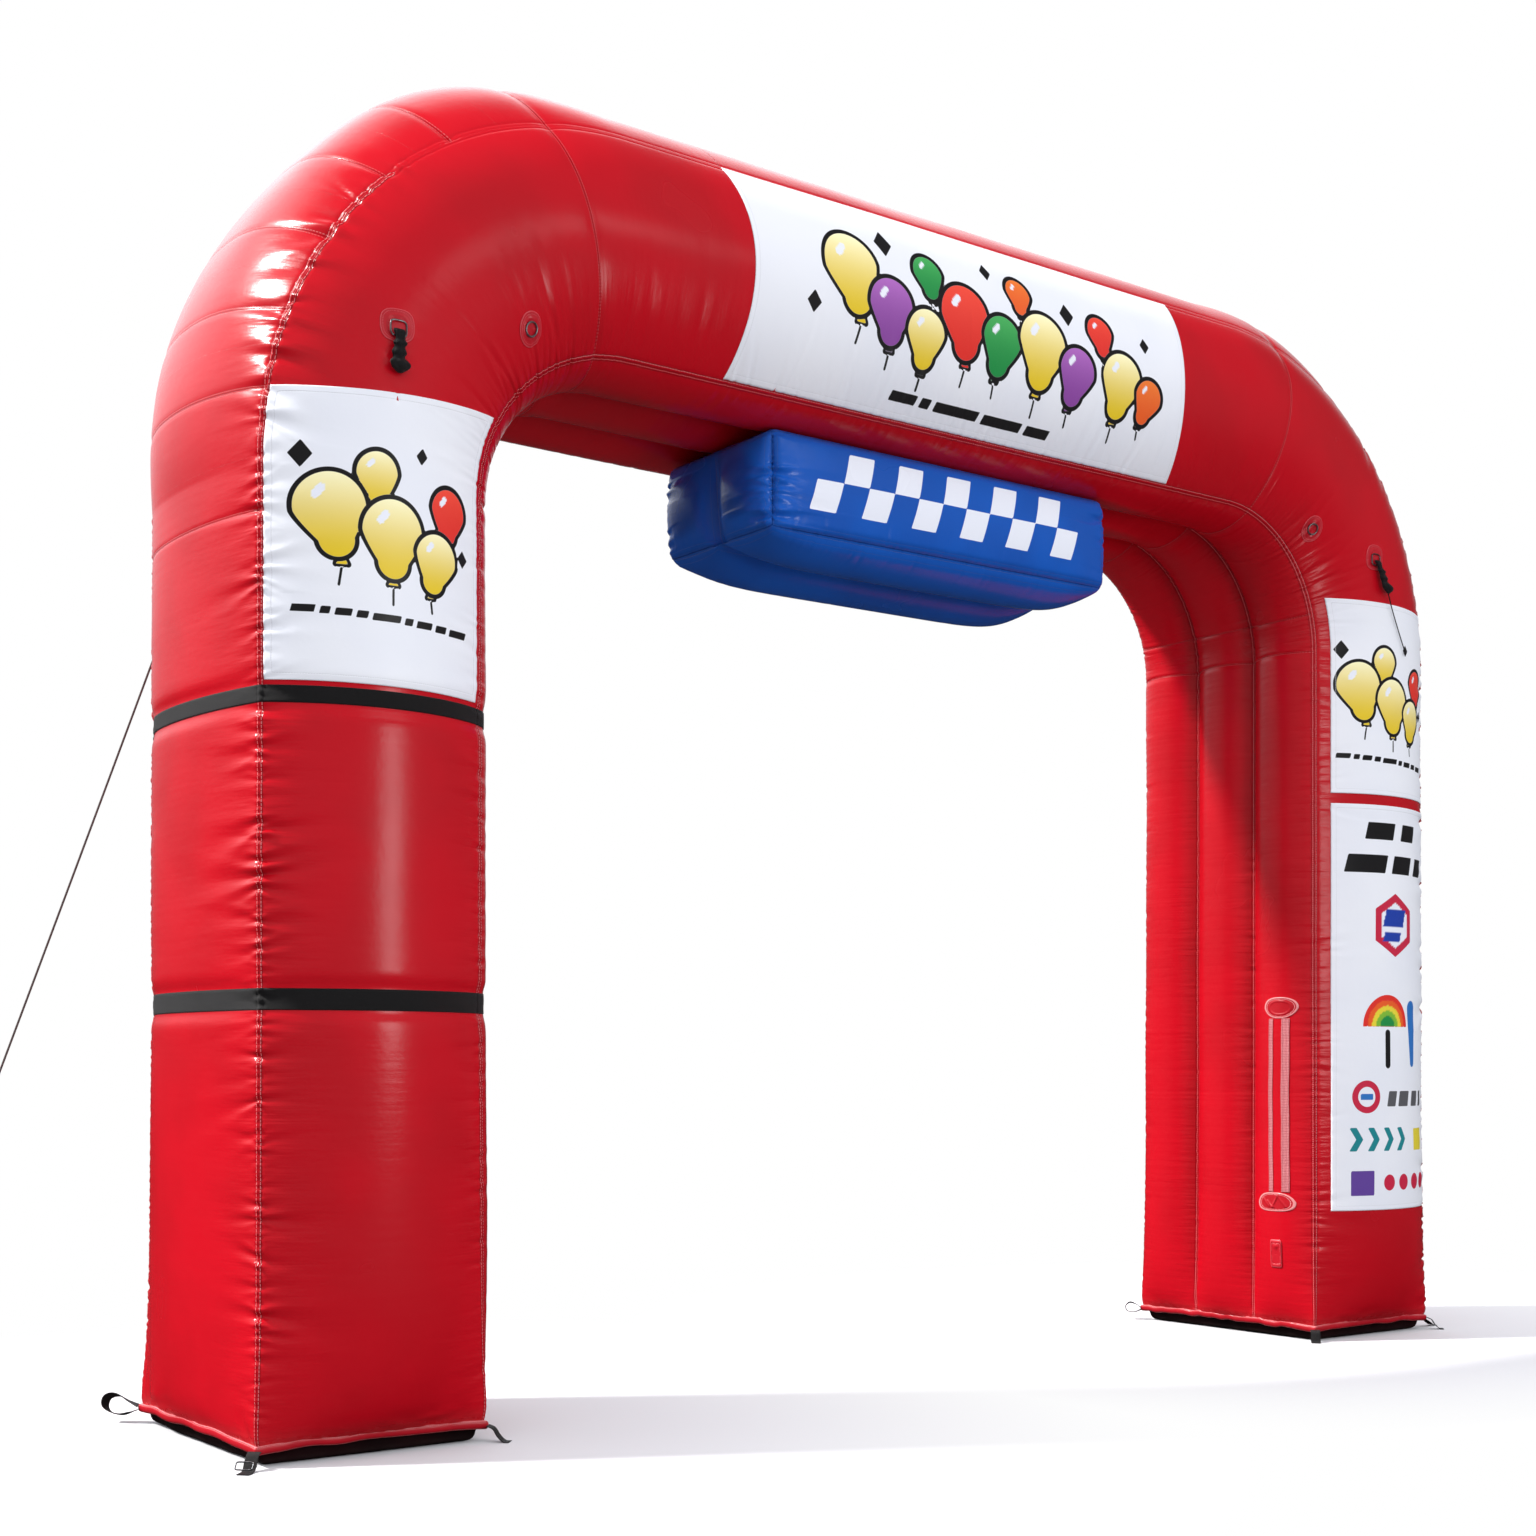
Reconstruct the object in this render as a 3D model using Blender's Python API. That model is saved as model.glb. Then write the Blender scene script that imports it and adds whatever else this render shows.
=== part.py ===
# Inflatable arch: one air-filled tube of coated cloth, bent into a gateway on two legs, with the
# panels, bands, hanging box, tie patches, webbing and ropes that are sewn or tied to it.
# Metres, +Z up. X runs along the arch, the front faces -Y, and the origin is on the ground
# half way between the legs.
#
# The tube is worked out from two numbers. "run" is the distance along its centre line from the
# middle of the beam, positive to the right. "around" counts the six cloth faces of a section:
# 0-1 front, 1-2 outer, 2-3 rear, and 3-4, 4-5 and 5-6 the three lobes of the inner face.

import math

import bmesh
import bpy
import numpy as np
from mathutils import Vector
from mathutils.bvhtree import BVHTree

# Tube: driving dimensions
ARCH_WIDTH = 6.00            # between the outer corner seams of the two legs
LEG_WIDTH = 0.80             # across a leg, and up the beam, from seam to seam
TUBE_DEPTH = 1.06            # from the front corner seams to the rear ones
SOFFIT_HEIGHT = 3.82         # ground to the lower corner seams of the beam
ELBOW_INSIDE = 0.60          # radius of the inner corner seam round an elbow
HEM_HEIGHT = 0.064           # ground to the sewn hem round the foot of each leg
FRONT_CROWN_LEG = 0.135      # how far the air pushes each face out between its seams
FRONT_CROWN_BEAM = 0.160
OUTER_CROWN_LEG = 0.070
ELBOW_CROWN = 0.090          # more of it half way round an elbow
SHOULDER_RISE = 0.070        # and where the elbow meets the beam
SHOULDER_TURN = 25
SHOULDER_REACH = 22
LOBE_CROWN_LEG = 0.100
LOBE_CROWN_BEAM = 0.070
FOOT_SPREAD = 0.028          # the foot is a little larger than the leg above it
FOOT_REACH = 0.12
LEG_FLARE = 0.012
FLARE_REACH = 0.90
FILL_REACH = 0.17            # height over which the flat foot fills out to the round leg
HEM_LIP = 0.012              # how far the hem stands out
HEM_HALF = 0.008
HEM_DROOP = 0.008            # the hem hangs lower at the corners

# Tube: gathers and cross seams
PLEAT_PITCH = 0.20
PLEAT_DEPTH = 0.011
PLEAT_REACH = 0.10
CREASE_WIDTH = 0.030
JOINT_RUN = 1.84             # cross seam all round, where the beam meets the elbow
JOINT_DEPTH = 0.012
SHOULDER_TURNS = (30, 42.5, 56, 68.5, 80)   # cross seams over the outer face, degrees
SHOULDER_DEPTH = 0.014
INNER_TURNS = (73.5, 90)               # cross seams over the three inner lobes
INNER_DEPTH = 0.010
SEAM_HEIGHT = 3.07           # the lowest cross seam of the outer face, on the leg

# Bands of black webbing, on the left leg only
BANDS = (
    # name, height, width
    ("lower_band", 1.500, 0.070),
    ("upper_band", 2.480, 0.056),
)
BAND_PULL = 0.010

# Printed panels: ends along the run or up the leg, and edges in "around" over the front face
BANNER_HALF = 1.19
PANELS = (
    # name, leg side, low end, high end, inner edge, outer edge
    ("left_panel", -1, 2.524, 3.470, 0.04, 0.97),
    ("right_upper_panel", 1, 2.560, 3.464, 0.08, 0.95),
    ("right_lower_panel", 1, 0.608, 2.512, 0.08, 0.95),
)
BANNER_EDGES = (0.015, 1.0)
ELBOW_ROW = 0.05             # step of a panel's level rows where the leg turns into the elbow
PANEL_LIFT = 0.0009          # least air under a panel that lies on a leg
CLOTH = 0.002
GAP = 0.0004                 # air left between neighbouring pieces
LIFT = 0.0006                # air under cloth that lies on the bent tube

# Mesh steps
FACE_STEPS = (6, 8, 5, 4, 4, 4)
LEG_STEP = 0.10
BEAM_STEPS = 18
ELBOW_TURNS = (8, 20, 25, 30, 36, 42.5, 49, 56, 62, 68.5, 73.5, 80, 85)
FOOT_HEIGHTS = (0.045, 0.10, 0.17, 0.26, 0.36)

# Hanging box under the beam
BOX_LENGTH = 1.824
BOX_DEPTH = 0.684
BOX_SHIFT = -0.030           # the box hangs a little forward of the beam's middle
BOX_HEIGHT = 0.400
BOX_STEPS = (14, 8, 8)
BOX_BELLY = 0.075            # how far each lobe hangs below its seams
BOX_FACE_CROWN = 0.035
BOX_END_CROWN = 0.045
BOX_GROOVE = 0.020
BOX_PLEAT = 0.006

# Worked out from the above
HALF_TUBE = LEG_WIDTH / 2
HALF_DEPTH = TUBE_DEPTH / 2
ELBOW_RADIUS = ELBOW_INSIDE + HALF_TUBE
HALF_BEAM = ARCH_WIDTH / 2 - LEG_WIDTH - ELBOW_INSIDE
ELBOW_Z = SOFFIT_HEIGHT - ELBOW_INSIDE
ELBOW_RUN = math.pi / 2 * ELBOW_RADIUS
HEM_RUN = HALF_BEAM + ELBOW_RUN + ELBOW_Z - HEM_HEIGHT
LEG_X = ARCH_WIDTH / 2 - HALF_TUBE

COLOURS = {
    # slot: (red, green, blue, roughness, metallic)
    "red_coated_cloth": (0.66, 0.012, 0.022, 0.28, 0.0),
    "blue_coated_cloth": (0.010, 0.075, 0.42, 0.30, 0.0),
    "dark_base_cloth": (0.045, 0.012, 0.016, 0.45, 0.0),
    "white_print_cloth": (0.82, 0.83, 0.86, 0.40, 0.0),
    "black_webbing": (0.012, 0.012, 0.013, 0.70, 0.0),
    "pale_zip_tape": (0.62, 0.20, 0.22, 0.30, 0.0),
    "steel_ring": (0.60, 0.60, 0.62, 0.25, 1.0),
    "guy_rope": (0.10, 0.09, 0.085, 0.80, 0.0),
}


def clear_scene():
    for thing in list(bpy.data.objects):
        bpy.data.objects.remove(thing, do_unlink=True)


def material(slot):
    made = bpy.data.materials.get(slot)
    if made is None:
        red, green, blue, rough, metal = COLOURS[slot]
        made = bpy.data.materials.new(slot)
        made.use_nodes = True
        shader = made.node_tree.nodes["Principled BSDF"]
        shader.inputs["Base Color"].default_value = (red, green, blue, 1.0)
        shader.inputs["Roughness"].default_value = rough
        shader.inputs["Metallic"].default_value = metal
    return made


def add_mesh(name, points, faces, slot):
    """One closed body from points and faces, its faces turned outward."""
    mesh = bpy.data.meshes.new(name)
    mesh.from_pydata([tuple(p) for p in points], [], faces)
    body = bmesh.new()
    body.from_mesh(mesh)
    bmesh.ops.recalc_face_normals(body, faces=body.faces)
    body.to_mesh(mesh)
    body.free()
    mesh.shade_smooth()
    mesh.set_sharp_from_angle(angle=math.radians(35))
    mesh.materials.append(material(slot))
    thing = bpy.data.objects.new(name, mesh)
    bpy.context.collection.objects.link(thing)
    return thing


def smooth(x):
    x = np.clip(x, 0.0, 1.0)
    return x * x * (3 - 2 * x)


def mix(a, b, share):
    return a + (b - a) * share


# ---------------------------------------------------------------- the tube's surface

def arc_height(t, half_chord, crown):
    """Height of a round arc over its chord, t from -1 to 1 along the chord."""
    crown = np.maximum(crown, 1e-5)
    radius = (half_chord ** 2 + crown ** 2) / (2 * crown)
    return np.sqrt(radius ** 2 - (t * half_chord) ** 2) - radius + crown


def elbow_turn(run):
    """Angle turned from the beam's direction, 0 on the beam and a right angle on a leg."""
    return np.clip((np.abs(run) - HALF_BEAM) / ELBOW_RADIUS, 0, math.pi / 2)


def tube_axis(run):
    """Centre line x and z, and the direction that points out of the gateway, x and z."""
    side = np.where(run < 0, -1.0, 1.0)
    turn = elbow_turn(run)
    drop = np.maximum(np.abs(run) - HALF_BEAM - ELBOW_RUN, 0)
    x = np.minimum(np.abs(run), HALF_BEAM) + ELBOW_RADIUS * np.sin(turn)
    z = ELBOW_Z + ELBOW_RADIUS * np.cos(turn) - drop
    return side * x, z, side * np.sin(turn), np.cos(turn)


def leg_run(side, height):
    return side * (HALF_BEAM + ELBOW_RUN + ELBOW_Z - height)


def turn_run(degrees):
    return HALF_BEAM + math.radians(degrees) * ELBOW_RADIUS


def gathers(run, around, seam_gap, beamness):
    """How far the cloth is drawn in: pleats beside the corner seams, cross seams and bands."""
    panel = np.floor(around)
    size = 0.62 + 0.38 * np.sin(2.3 * run + 1.1) * np.sin(5.1 * run)
    pleat = PLEAT_DEPTH * size * (0.5 - 0.5 * np.cos(2 * math.pi * run / PLEAT_PITCH))
    at_outer = np.exp(-seam_gap / PLEAT_REACH)
    fade = np.where(panel < 3, mix(1.0, 0.25, beamness), 0.45)
    drawn = pleat * at_outer * fade

    def crease(at, depth):
        return depth * np.exp(-((np.abs(run) - at) / CREASE_WIDTH) ** 2)

    drawn = drawn + crease(JOINT_RUN, JOINT_DEPTH)
    for degrees in SHOULDER_TURNS:
        drawn = drawn + np.where(panel == 1, crease(turn_run(degrees), SHOULDER_DEPTH), 0)
    drawn = drawn + np.where(panel == 1, crease(leg_run(1, SEAM_HEIGHT), SHOULDER_DEPTH), 0)
    for degrees in INNER_TURNS:
        drawn = drawn + np.where(panel > 2, crease(turn_run(degrees), INNER_DEPTH), 0)
    for _, height, width in BANDS:
        gap = np.maximum(np.abs(run - leg_run(-1, height)) - width / 2, 0)
        drawn = drawn + BAND_PULL * np.exp(-(gap / CREASE_WIDTH) ** 2)
    return drawn


def tube_point(run, around, lift=0.0, grow=0.0):
    """Points of the skin for runs, one a row or a grid of them, and a row of arounds.

    lift moves a point away from the middle of the section, grow enlarges the whole section."""
    run = np.asarray(run, float)
    run = run if run.ndim == 2 else run.reshape(-1, 1)
    around = np.asarray(around, float).reshape(1, -1)
    around = np.where(around >= 6, around - 6, around)
    panel = np.floor(around)
    t = 2 * (around - panel) - 1
    above_hem = np.maximum(HEM_RUN - np.abs(run), 0)
    fill = 1 - np.exp(-above_hem / FILL_REACH)
    spread = FOOT_SPREAD * np.exp(-above_hem / FOOT_REACH)
    spread = spread + LEG_FLARE * np.exp(-above_hem / FLARE_REACH) + grow
    half_y = HALF_DEPTH + spread
    half_q = HALF_TUBE + spread
    beamness = smooth((1 - elbow_turn(run) / (math.pi / 2)) / 0.8)

    side_crown = arc_height(t, half_q, fill * mix(FRONT_CROWN_LEG, FRONT_CROWN_BEAM, beamness))
    turn = elbow_turn(run)
    rise = SHOULDER_RISE * np.exp(-((np.degrees(turn) - SHOULDER_TURN) / SHOULDER_REACH) ** 2)
    leg_crown = arc_height(t, half_y, fill * (OUTER_CROWN_LEG + ELBOW_CROWN * np.sin(2 * turn)))
    barrel = (HALF_TUBE ** 2 + FRONT_CROWN_BEAM ** 2) / (2 * FRONT_CROWN_BEAM)
    flat = HALF_DEPTH + FRONT_CROWN_BEAM - barrel
    over = np.maximum(np.abs(t) * HALF_DEPTH - flat, 0)
    beam_crown = np.sqrt(barrel ** 2 - over ** 2) - HALF_TUBE
    top_crown = mix(leg_crown, beam_crown, beamness) + rise * (1 - t * t)
    lobe_crown = arc_height(t, half_y / 3, fill * mix(LOBE_CROWN_LEG, LOBE_CROWN_BEAM, beamness))

    y = np.select([panel == 0, panel == 1, panel == 2],
                  [-half_y - side_crown, t * half_y, half_y + side_crown],
                  half_y - 2 * half_y * (around - 3) / 3)
    q = np.select([panel == 0, panel == 1, panel == 2],
                  [t * half_q, half_q + top_crown, -t * half_q],
                  -half_q - lobe_crown)
    seam_gap = (1 - np.abs(t)) * np.select([panel == 1, panel > 2], [half_y, half_y / 3], half_q)
    move = lift - fill * gathers(run, around, seam_gap, beamness)
    size = np.hypot(y, q)
    y = y * (1 + move / size)
    q = q * (1 + move / size)
    x, z, out_x, out_z = tube_axis(run)
    return np.stack([x + q * out_x, y + 0 * x, z + q * out_z], axis=-1)


def face_columns():
    """Values of around at the mesh's lengthwise lines."""
    columns = []
    for face, steps in enumerate(FACE_STEPS):
        columns += [face + step / steps for step in range(steps)]
    return np.array(columns)


def tube_rings():
    """Values of run at the mesh's rings, with one at every edge of a panel, band and seam."""
    fixed = [-BANNER_HALF, BANNER_HALF]
    plain = list(np.linspace(-HALF_BEAM, HALF_BEAM, BEAM_STEPS + 1))
    for side in (-1, 1):
        fixed += [side * (JOINT_RUN + step) for step in (-0.04, 0, 0.04)]
        fixed += [side * turn_run(degrees) for degrees in ELBOW_TURNS[1:]]
        fixed += [leg_run(side, ELBOW_Z), leg_run(side, SEAM_HEIGHT)]
        fixed += [leg_run(side, HEM_HEIGHT + up) for up in FOOT_HEIGHTS]
        low = HEM_HEIGHT + FOOT_HEIGHTS[-1] + LEG_STEP
        plain += [leg_run(side, height) for height in np.arange(low, ELBOW_Z, LEG_STEP)]
    for _, side, low, high, _, _ in PANELS:
        fixed += [leg_run(side, low), leg_run(side, min(high, ELBOW_Z))]
    for _, height, width in BANDS:
        fixed += [leg_run(-1, height + edge * width / 2) for edge in (-1.7, -1, 1, 1.7)]
    fixed = np.array(fixed)
    plain = [run for run in plain if np.min(np.abs(fixed - run)) > 0.4 * LEG_STEP]
    return np.unique(np.round(np.concatenate([fixed, plain]), 6))


def grid_faces(rows, columns, wrap, start=0):
    """Triangles of a grid, every square cut along the same diagonal."""
    faces = []
    for row in range(rows - 1):
        for column in range(columns if wrap else columns - 1):
            beside = (column + 1) % columns
            a = start + row * columns + column
            b = start + row * columns + beside
            c = start + (row + 1) * columns + beside
            d = start + (row + 1) * columns + column
            faces += [(a, b, c), (a, c, d)]
    return faces


def cap_faces(first, columns, middle, flip):
    faces = []
    for column in range(columns):
        a, b = first + column, first + (column + 1) % columns
        faces.append((middle, b, a) if flip else (middle, a, b))
    return faces


def closed_loft(name, rings, slot):
    """A body from rings of equal length, closed at both ends round the rings' middles."""
    rings = np.asarray(rings)
    rows, columns = rings.shape[:2]
    points = list(rings.reshape(-1, 3)) + [rings[0].mean(axis=0), rings[-1].mean(axis=0)]
    faces = grid_faces(rows, columns, True)
    faces += cap_faces(0, columns, rows * columns, True)
    faces += cap_faces((rows - 1) * columns, columns, rows * columns + 1, False)
    return add_mesh(name, points, faces, slot)


def hem_rings(side):
    """The sewn hem round a foot: drawn in above it, a flat lip, then the closed underside."""
    columns = face_columns()
    panel = np.floor(columns)
    t = np.abs(2 * (columns - panel) - 1)
    lobe_corner = np.abs(2 * (columns - 3) / 3 - 1)
    droop = HEM_DROOP * np.where(panel < 3, t, lobe_corner) ** 4
    rows = (
        # (height above the hem, growth of the section, share of the corner droop)
        (2 * HEM_HALF, -0.006, 0.6),
        (HEM_HALF, HEM_LIP, 1.0),
        (-HEM_HALF, HEM_LIP, 1.0),
        (-1.5 * HEM_HALF, -0.020, 0.0),
    )
    rings = []
    for up, grow, share in rows:
        ring = tube_point([side * HEM_RUN], columns, grow=grow)[0]
        ring[:, 2] = HEM_HEIGHT + up - share * droop
        rings.append(ring)
    return rings


def make_tube():
    """The whole arch of red cloth as one filled body, foot to foot."""
    rings = list(tube_point(tube_rings(), face_columns()))
    left, right = hem_rings(-1), hem_rings(1)
    return closed_loft("air_tube", left[::-1] + rings + right, "red_coated_cloth")


def make_base(name, side):
    """The dark cloth that closes a foot: drawn in under the hem and flat on the ground."""
    top = HEM_HEIGHT - 1.5 * HEM_HALF - GAP
    rows = (
        # (height, growth of the section)
        (top, -0.030),
        (0.60 * top, -0.038),
        (0.22 * top, -0.066),
        (0.0, -0.100),
    )
    rings = []
    for height, grow in rows:
        ring = tube_point([side * HEM_RUN], face_columns(), grow=grow)[0]
        ring[:, 2] = height
        rings.append(ring)
    return closed_loft(name, rings, "dark_base_cloth")


# ---------------------------------------------------------------- cloth that lies on the tube

def make_sheet(name, runs, arounds, slot, wrap=False):
    """A sheet of cloth that lies on the tube between the given runs and arounds."""
    return add_sheet(name, tube_point(runs, arounds, lift=LIFT),
                     tube_point(runs, arounds, lift=LIFT + CLOTH), slot, wrap)


def add_sheet(name, under, over, slot, wrap=False):
    """A thin body between two grids of points."""
    rows, columns = under.shape[:2]
    count = rows * columns
    points = np.concatenate([under.reshape(-1, 3), over.reshape(-1, 3)])
    faces = [face[::-1] for face in grid_faces(rows, columns, wrap)]
    faces += grid_faces(rows, columns, wrap, start=count)
    rims = [[row * columns + c for c in range(columns)] for row in (0, rows - 1)]
    if wrap:
        rims = [rim + rim[:1] for rim in rims]
    else:
        rims += [[row * columns + c for row in range(rows)] for c in (0, columns - 1)]
    for rim in rims:
        for a, b in zip(rim, rim[1:]):
            faces += [(a, b, b + count), (a, b + count, a + count)]
    return add_mesh(name, points, faces, slot)


def level_run(side, around, height):
    """Run of the spot on a leg's or elbow's front at this around and this height."""
    reach = ELBOW_RADIUS + (2 * around - 1) * HALF_TUBE
    turn = np.arccos(np.clip((height - ELBOW_Z) / reach, 0, 1))
    return side * (HALF_BEAM + turn * ELBOW_RADIUS + np.maximum(ELBOW_Z - height, 0))


def lay_panel(name, skin, side, heights, arounds):
    """A sheet with level rows on the front of a leg, laid on the tube's own faces behind it."""
    facing = np.array(FRONT)
    heights = np.array(heights)[:, None]
    flat = tube_point(level_run(side, arounds[None, :], heights), arounds)
    flat[..., 2] = heights
    rows, columns = flat.shape[:2]
    spots = flat.reshape(-1, 3)
    bed = np.array([skin.below(spot * (1, 0, 1), facing) for spot in spots])
    slack = 0.0
    for face in grid_faces(rows, columns, False):
        for weights in LATTICE:
            cloth = sum(w * bed[i] for w, i in zip(weights, face))
            slack = max(slack, float(np.dot(skin.below(cloth * (1, 0, 1), facing) - cloth, facing)))
    under = (bed + facing * (slack + PANEL_LIFT)).reshape(rows, columns, 3)
    return add_sheet(name, under, under + facing * CLOTH, "white_print_cloth")


def rings_between(low, high):
    rings = tube_rings()
    return rings[(rings > min(low, high) - 1e-5) & (rings < max(low, high) + 1e-5)]


def columns_between(low, high):
    columns = face_columns()
    inside = columns[(columns > low + 1e-5) & (columns < high - 1e-5)]
    return np.concatenate([[low], inside, [high]])


def make_panels(skin):
    make_sheet("beam_banner", rings_between(-BANNER_HALF, BANNER_HALF),
               columns_between(*BANNER_EDGES), "white_print_cloth")
    for name, side, low, high, inner, outer in PANELS:
        rings = rings_between(leg_run(side, low), leg_run(side, min(high, ELBOW_Z)))
        heights = [abs(leg_run(side, 0)) - abs(run) for run in rings]
        if high > ELBOW_Z:
            heights += list(np.arange(ELBOW_Z + ELBOW_ROW, high - ELBOW_ROW / 2, ELBOW_ROW)) + [high]
        lay_panel(name, skin, side, sorted(heights), columns_between(inner, outer))


def make_bands():
    for name, height, width in BANDS:
        low, high = (leg_run(-1, height + edge * width / 2) for edge in (-1, 1))
        make_sheet(name, rings_between(low, high), face_columns(), "black_webbing", wrap=True)


# ---------------------------------------------------------------- hanging box

def box_point(a, b, c):
    """A point of the box's skin for a point (a, b, c) of a cube's surface, each from -1 to 1.

    The front and rear lobes meet in a groove at b = 0, along the underside and up both ends."""
    lobe = 2 * abs(b) - 1
    round_lobe = 1 - lobe ** 2
    x = a * BOX_LENGTH / 2
    y = b * BOX_DEPTH / 2
    z = c * BOX_HEIGHT / 2
    groove = BOX_GROOVE * math.exp(-(b / 0.10) ** 2)
    if abs(a) == 1:
        x += a * (BOX_END_CROWN * round_lobe * (1 - c * c) - groove * (1 - c) / 2)
    if c == -1:
        z -= BOX_BELLY * round_lobe * (1 - a ** 8) - groove * (1 - a ** 8)
    if abs(b) == 1:
        y += b * BOX_FACE_CROWN * (1 - c * c) * (1 - a ** 6)
    if abs(a) == 1 and abs(b) == 1 and abs(c) < 1:
        pleat = BOX_PLEAT * (1 if round((c + 1) * BOX_STEPS[2] / 2) % 2 else 0)
        x -= a * (pleat + 0.012 * (1 - c * c))
        y -= b * (pleat + 0.012 * (1 - c * c))
    return x, y, z


def make_box():
    """The blue two-lobed box of filled cloth that hangs under the middle of the beam."""
    top = SOFFIT_HEIGHT - LOBE_CROWN_BEAM - GAP
    steps = BOX_STEPS
    points, index, faces = [], {}, []

    def corner(cell):
        if cell not in index:
            index[cell] = len(points)
            x, y, z = box_point(*(2 * n / count - 1 for n, count in zip(cell, steps)))
            points.append((x, y + BOX_SHIFT, z + top - BOX_HEIGHT / 2))
        return index[cell]

    for axis in range(3):
        one, two = (axis + 1) % 3, (axis + 2) % 3
        for level in (0, steps[axis]):
            for i in range(steps[one]):
                for j in range(steps[two]):
                    square = []
                    for di, dj in ((0, 0), (1, 0), (1, 1), (0, 1)):
                        cell = [0, 0, 0]
                        cell[axis], cell[one], cell[two] = level, i + di, j + dj
                        square.append(corner(tuple(cell)))
                    faces += [(square[0], square[1], square[2]), (square[0], square[2], square[3])]
    return add_mesh("hanging_box", points, faces, "blue_coated_cloth")


# ---------------------------------------------------------------- plates sewn to the tube

class Skin:
    """The faces of a body, for laying small pieces on it."""

    def __init__(self, thing):
        points = [vertex.co.copy() for vertex in thing.data.vertices]
        faces = [tuple(face.vertices) for face in thing.data.polygons]
        self.tree = BVHTree.FromPolygons(points, faces)

    def below(self, point, facing):
        """The point of the body straight behind a point, seen along -facing."""
        start = Vector(point) + Vector(facing)
        hit = self.tree.ray_cast(start, -Vector(facing))[0]
        return np.array(hit)

    def distance(self, point):
        return self.tree.find_nearest(Vector(point))[3]


def oval(half_width, half_height, power=2.0):
    """A rounded outline: an ellipse for power 2, squarer for a higher one."""
    def outline(angle):
        c, s = math.cos(angle), math.sin(angle)
        across = half_width * math.copysign(abs(c) ** (2 / power), c)
        up = half_height * math.copysign(abs(s) ** (2 / power), s)
        return across, up
    return outline


LATTICE_STEPS = 8
LATTICE = [(i / LATTICE_STEPS, j / LATTICE_STEPS, 1 - (i + j) / LATTICE_STEPS)
           for i in range(LATTICE_STEPS + 1) for j in range(LATTICE_STEPS + 1 - i)]


def lay_plate(name, skin, centre, facing, outline, thickness, slot, steps=16, shares=(0.4, 0.75, 1.0)):
    """A thin plate that follows the skin behind it, with GAP of air under its nearest point.

    LATTICE tries spots all over each triangle, because the skin may rise between its corners."""
    facing = np.array(facing, float)
    across = np.cross(UP, facing)
    flat = [np.zeros(2)]
    for share in shares:
        for step in range(steps):
            flat.append(share * np.array(outline(2 * math.pi * step / steps)))

    def lay(spot):
        return skin.below(centre + across * spot[0] + UP * spot[1], facing)

    bed = np.array([lay(spot) for spot in flat])
    fans = [(0, 1 + step, 1 + (step + 1) % steps) for step in range(steps)]
    fans += grid_faces(len(shares), steps, True, start=1)
    slack = 0.0
    for fan in fans:
        for weights in LATTICE:
            spot = sum(w * flat[i] for w, i in zip(weights, fan))
            cloth = sum(w * bed[i] for w, i in zip(weights, fan))
            slack = max(slack, float(np.dot(lay(spot) - cloth, facing)))
    low = bed + facing * (slack + GAP)
    high = low + facing * thickness
    count = len(flat)
    rim = count - steps
    faces = [fan[::-1] for fan in fans] + [tuple(i + count for i in fan) for fan in fans]
    for step in range(steps):
        a, b = rim + step, rim + (step + 1) % steps
        faces += [(a, b, b + count), (a, b + count, a + count)]
    return add_mesh(name, np.concatenate([low, high]), faces, slot)


def sweep(name, centres, offsets, slot, closed=False):
    """A body from one ring of offsets at each centre; a closed one joins its ends."""
    rings = np.asarray(centres)[:, None, :] + np.asarray(offsets)
    if not closed:
        return closed_loft(name, rings, slot)
    rows, columns = rings.shape[:2]
    faces = grid_faces(rows, columns, True)
    last = (rows - 1) * columns
    for column in range(columns):
        a, b = last + column, last + (column + 1) % columns
        c, d = (column + 1) % columns, column
        faces += [(a, b, c), (a, c, d)]
    return add_mesh(name, rings.reshape(-1, 3), faces, slot)


def make_ring(name, centre, across, up, outline, wire, slot, seat, way, steps=16, sides=5):
    """A ring of round wire in the plane of two directions.

    It starts well clear of the body it lies against and slides that way until its wire has GAP
    to it. Returns the middle of the ring."""
    facing = np.cross(across, up)
    spots = [outline(2 * math.pi * step / steps) for step in range(steps)]
    centres = np.array([centre + across * s[0] + up * s[1] for s in spots])
    centres = centres + way * slide_to_seat(centres, wire, way, Skin(seat))
    ahead = np.roll(centres, -1, axis=0) - np.roll(centres, 1, axis=0)
    ahead /= np.linalg.norm(ahead, axis=1)[:, None]
    outward = np.cross(ahead, facing)
    turns = 2 * math.pi * np.arange(sides) / sides
    offsets = wire * (np.cos(turns)[None, :, None] * outward[:, None, :]
                      + np.sin(turns)[None, :, None] * facing)
    sweep(name, centres, offsets, slot, closed=True)
    return centres.mean(axis=0)


def slide_to_seat(centres, wire, way, skin):
    """How far a ring's wire can slide along a direction before only GAP is left to the skin."""
    spots = np.concatenate([centres, (centres + np.roll(centres, -1, axis=0)) / 2])
    slide = 0.0
    for _ in range(SLIDE_STEPS):
        slide += min(skin.distance(spot + way * slide) for spot in spots) - wire - GAP
    return slide


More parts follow.
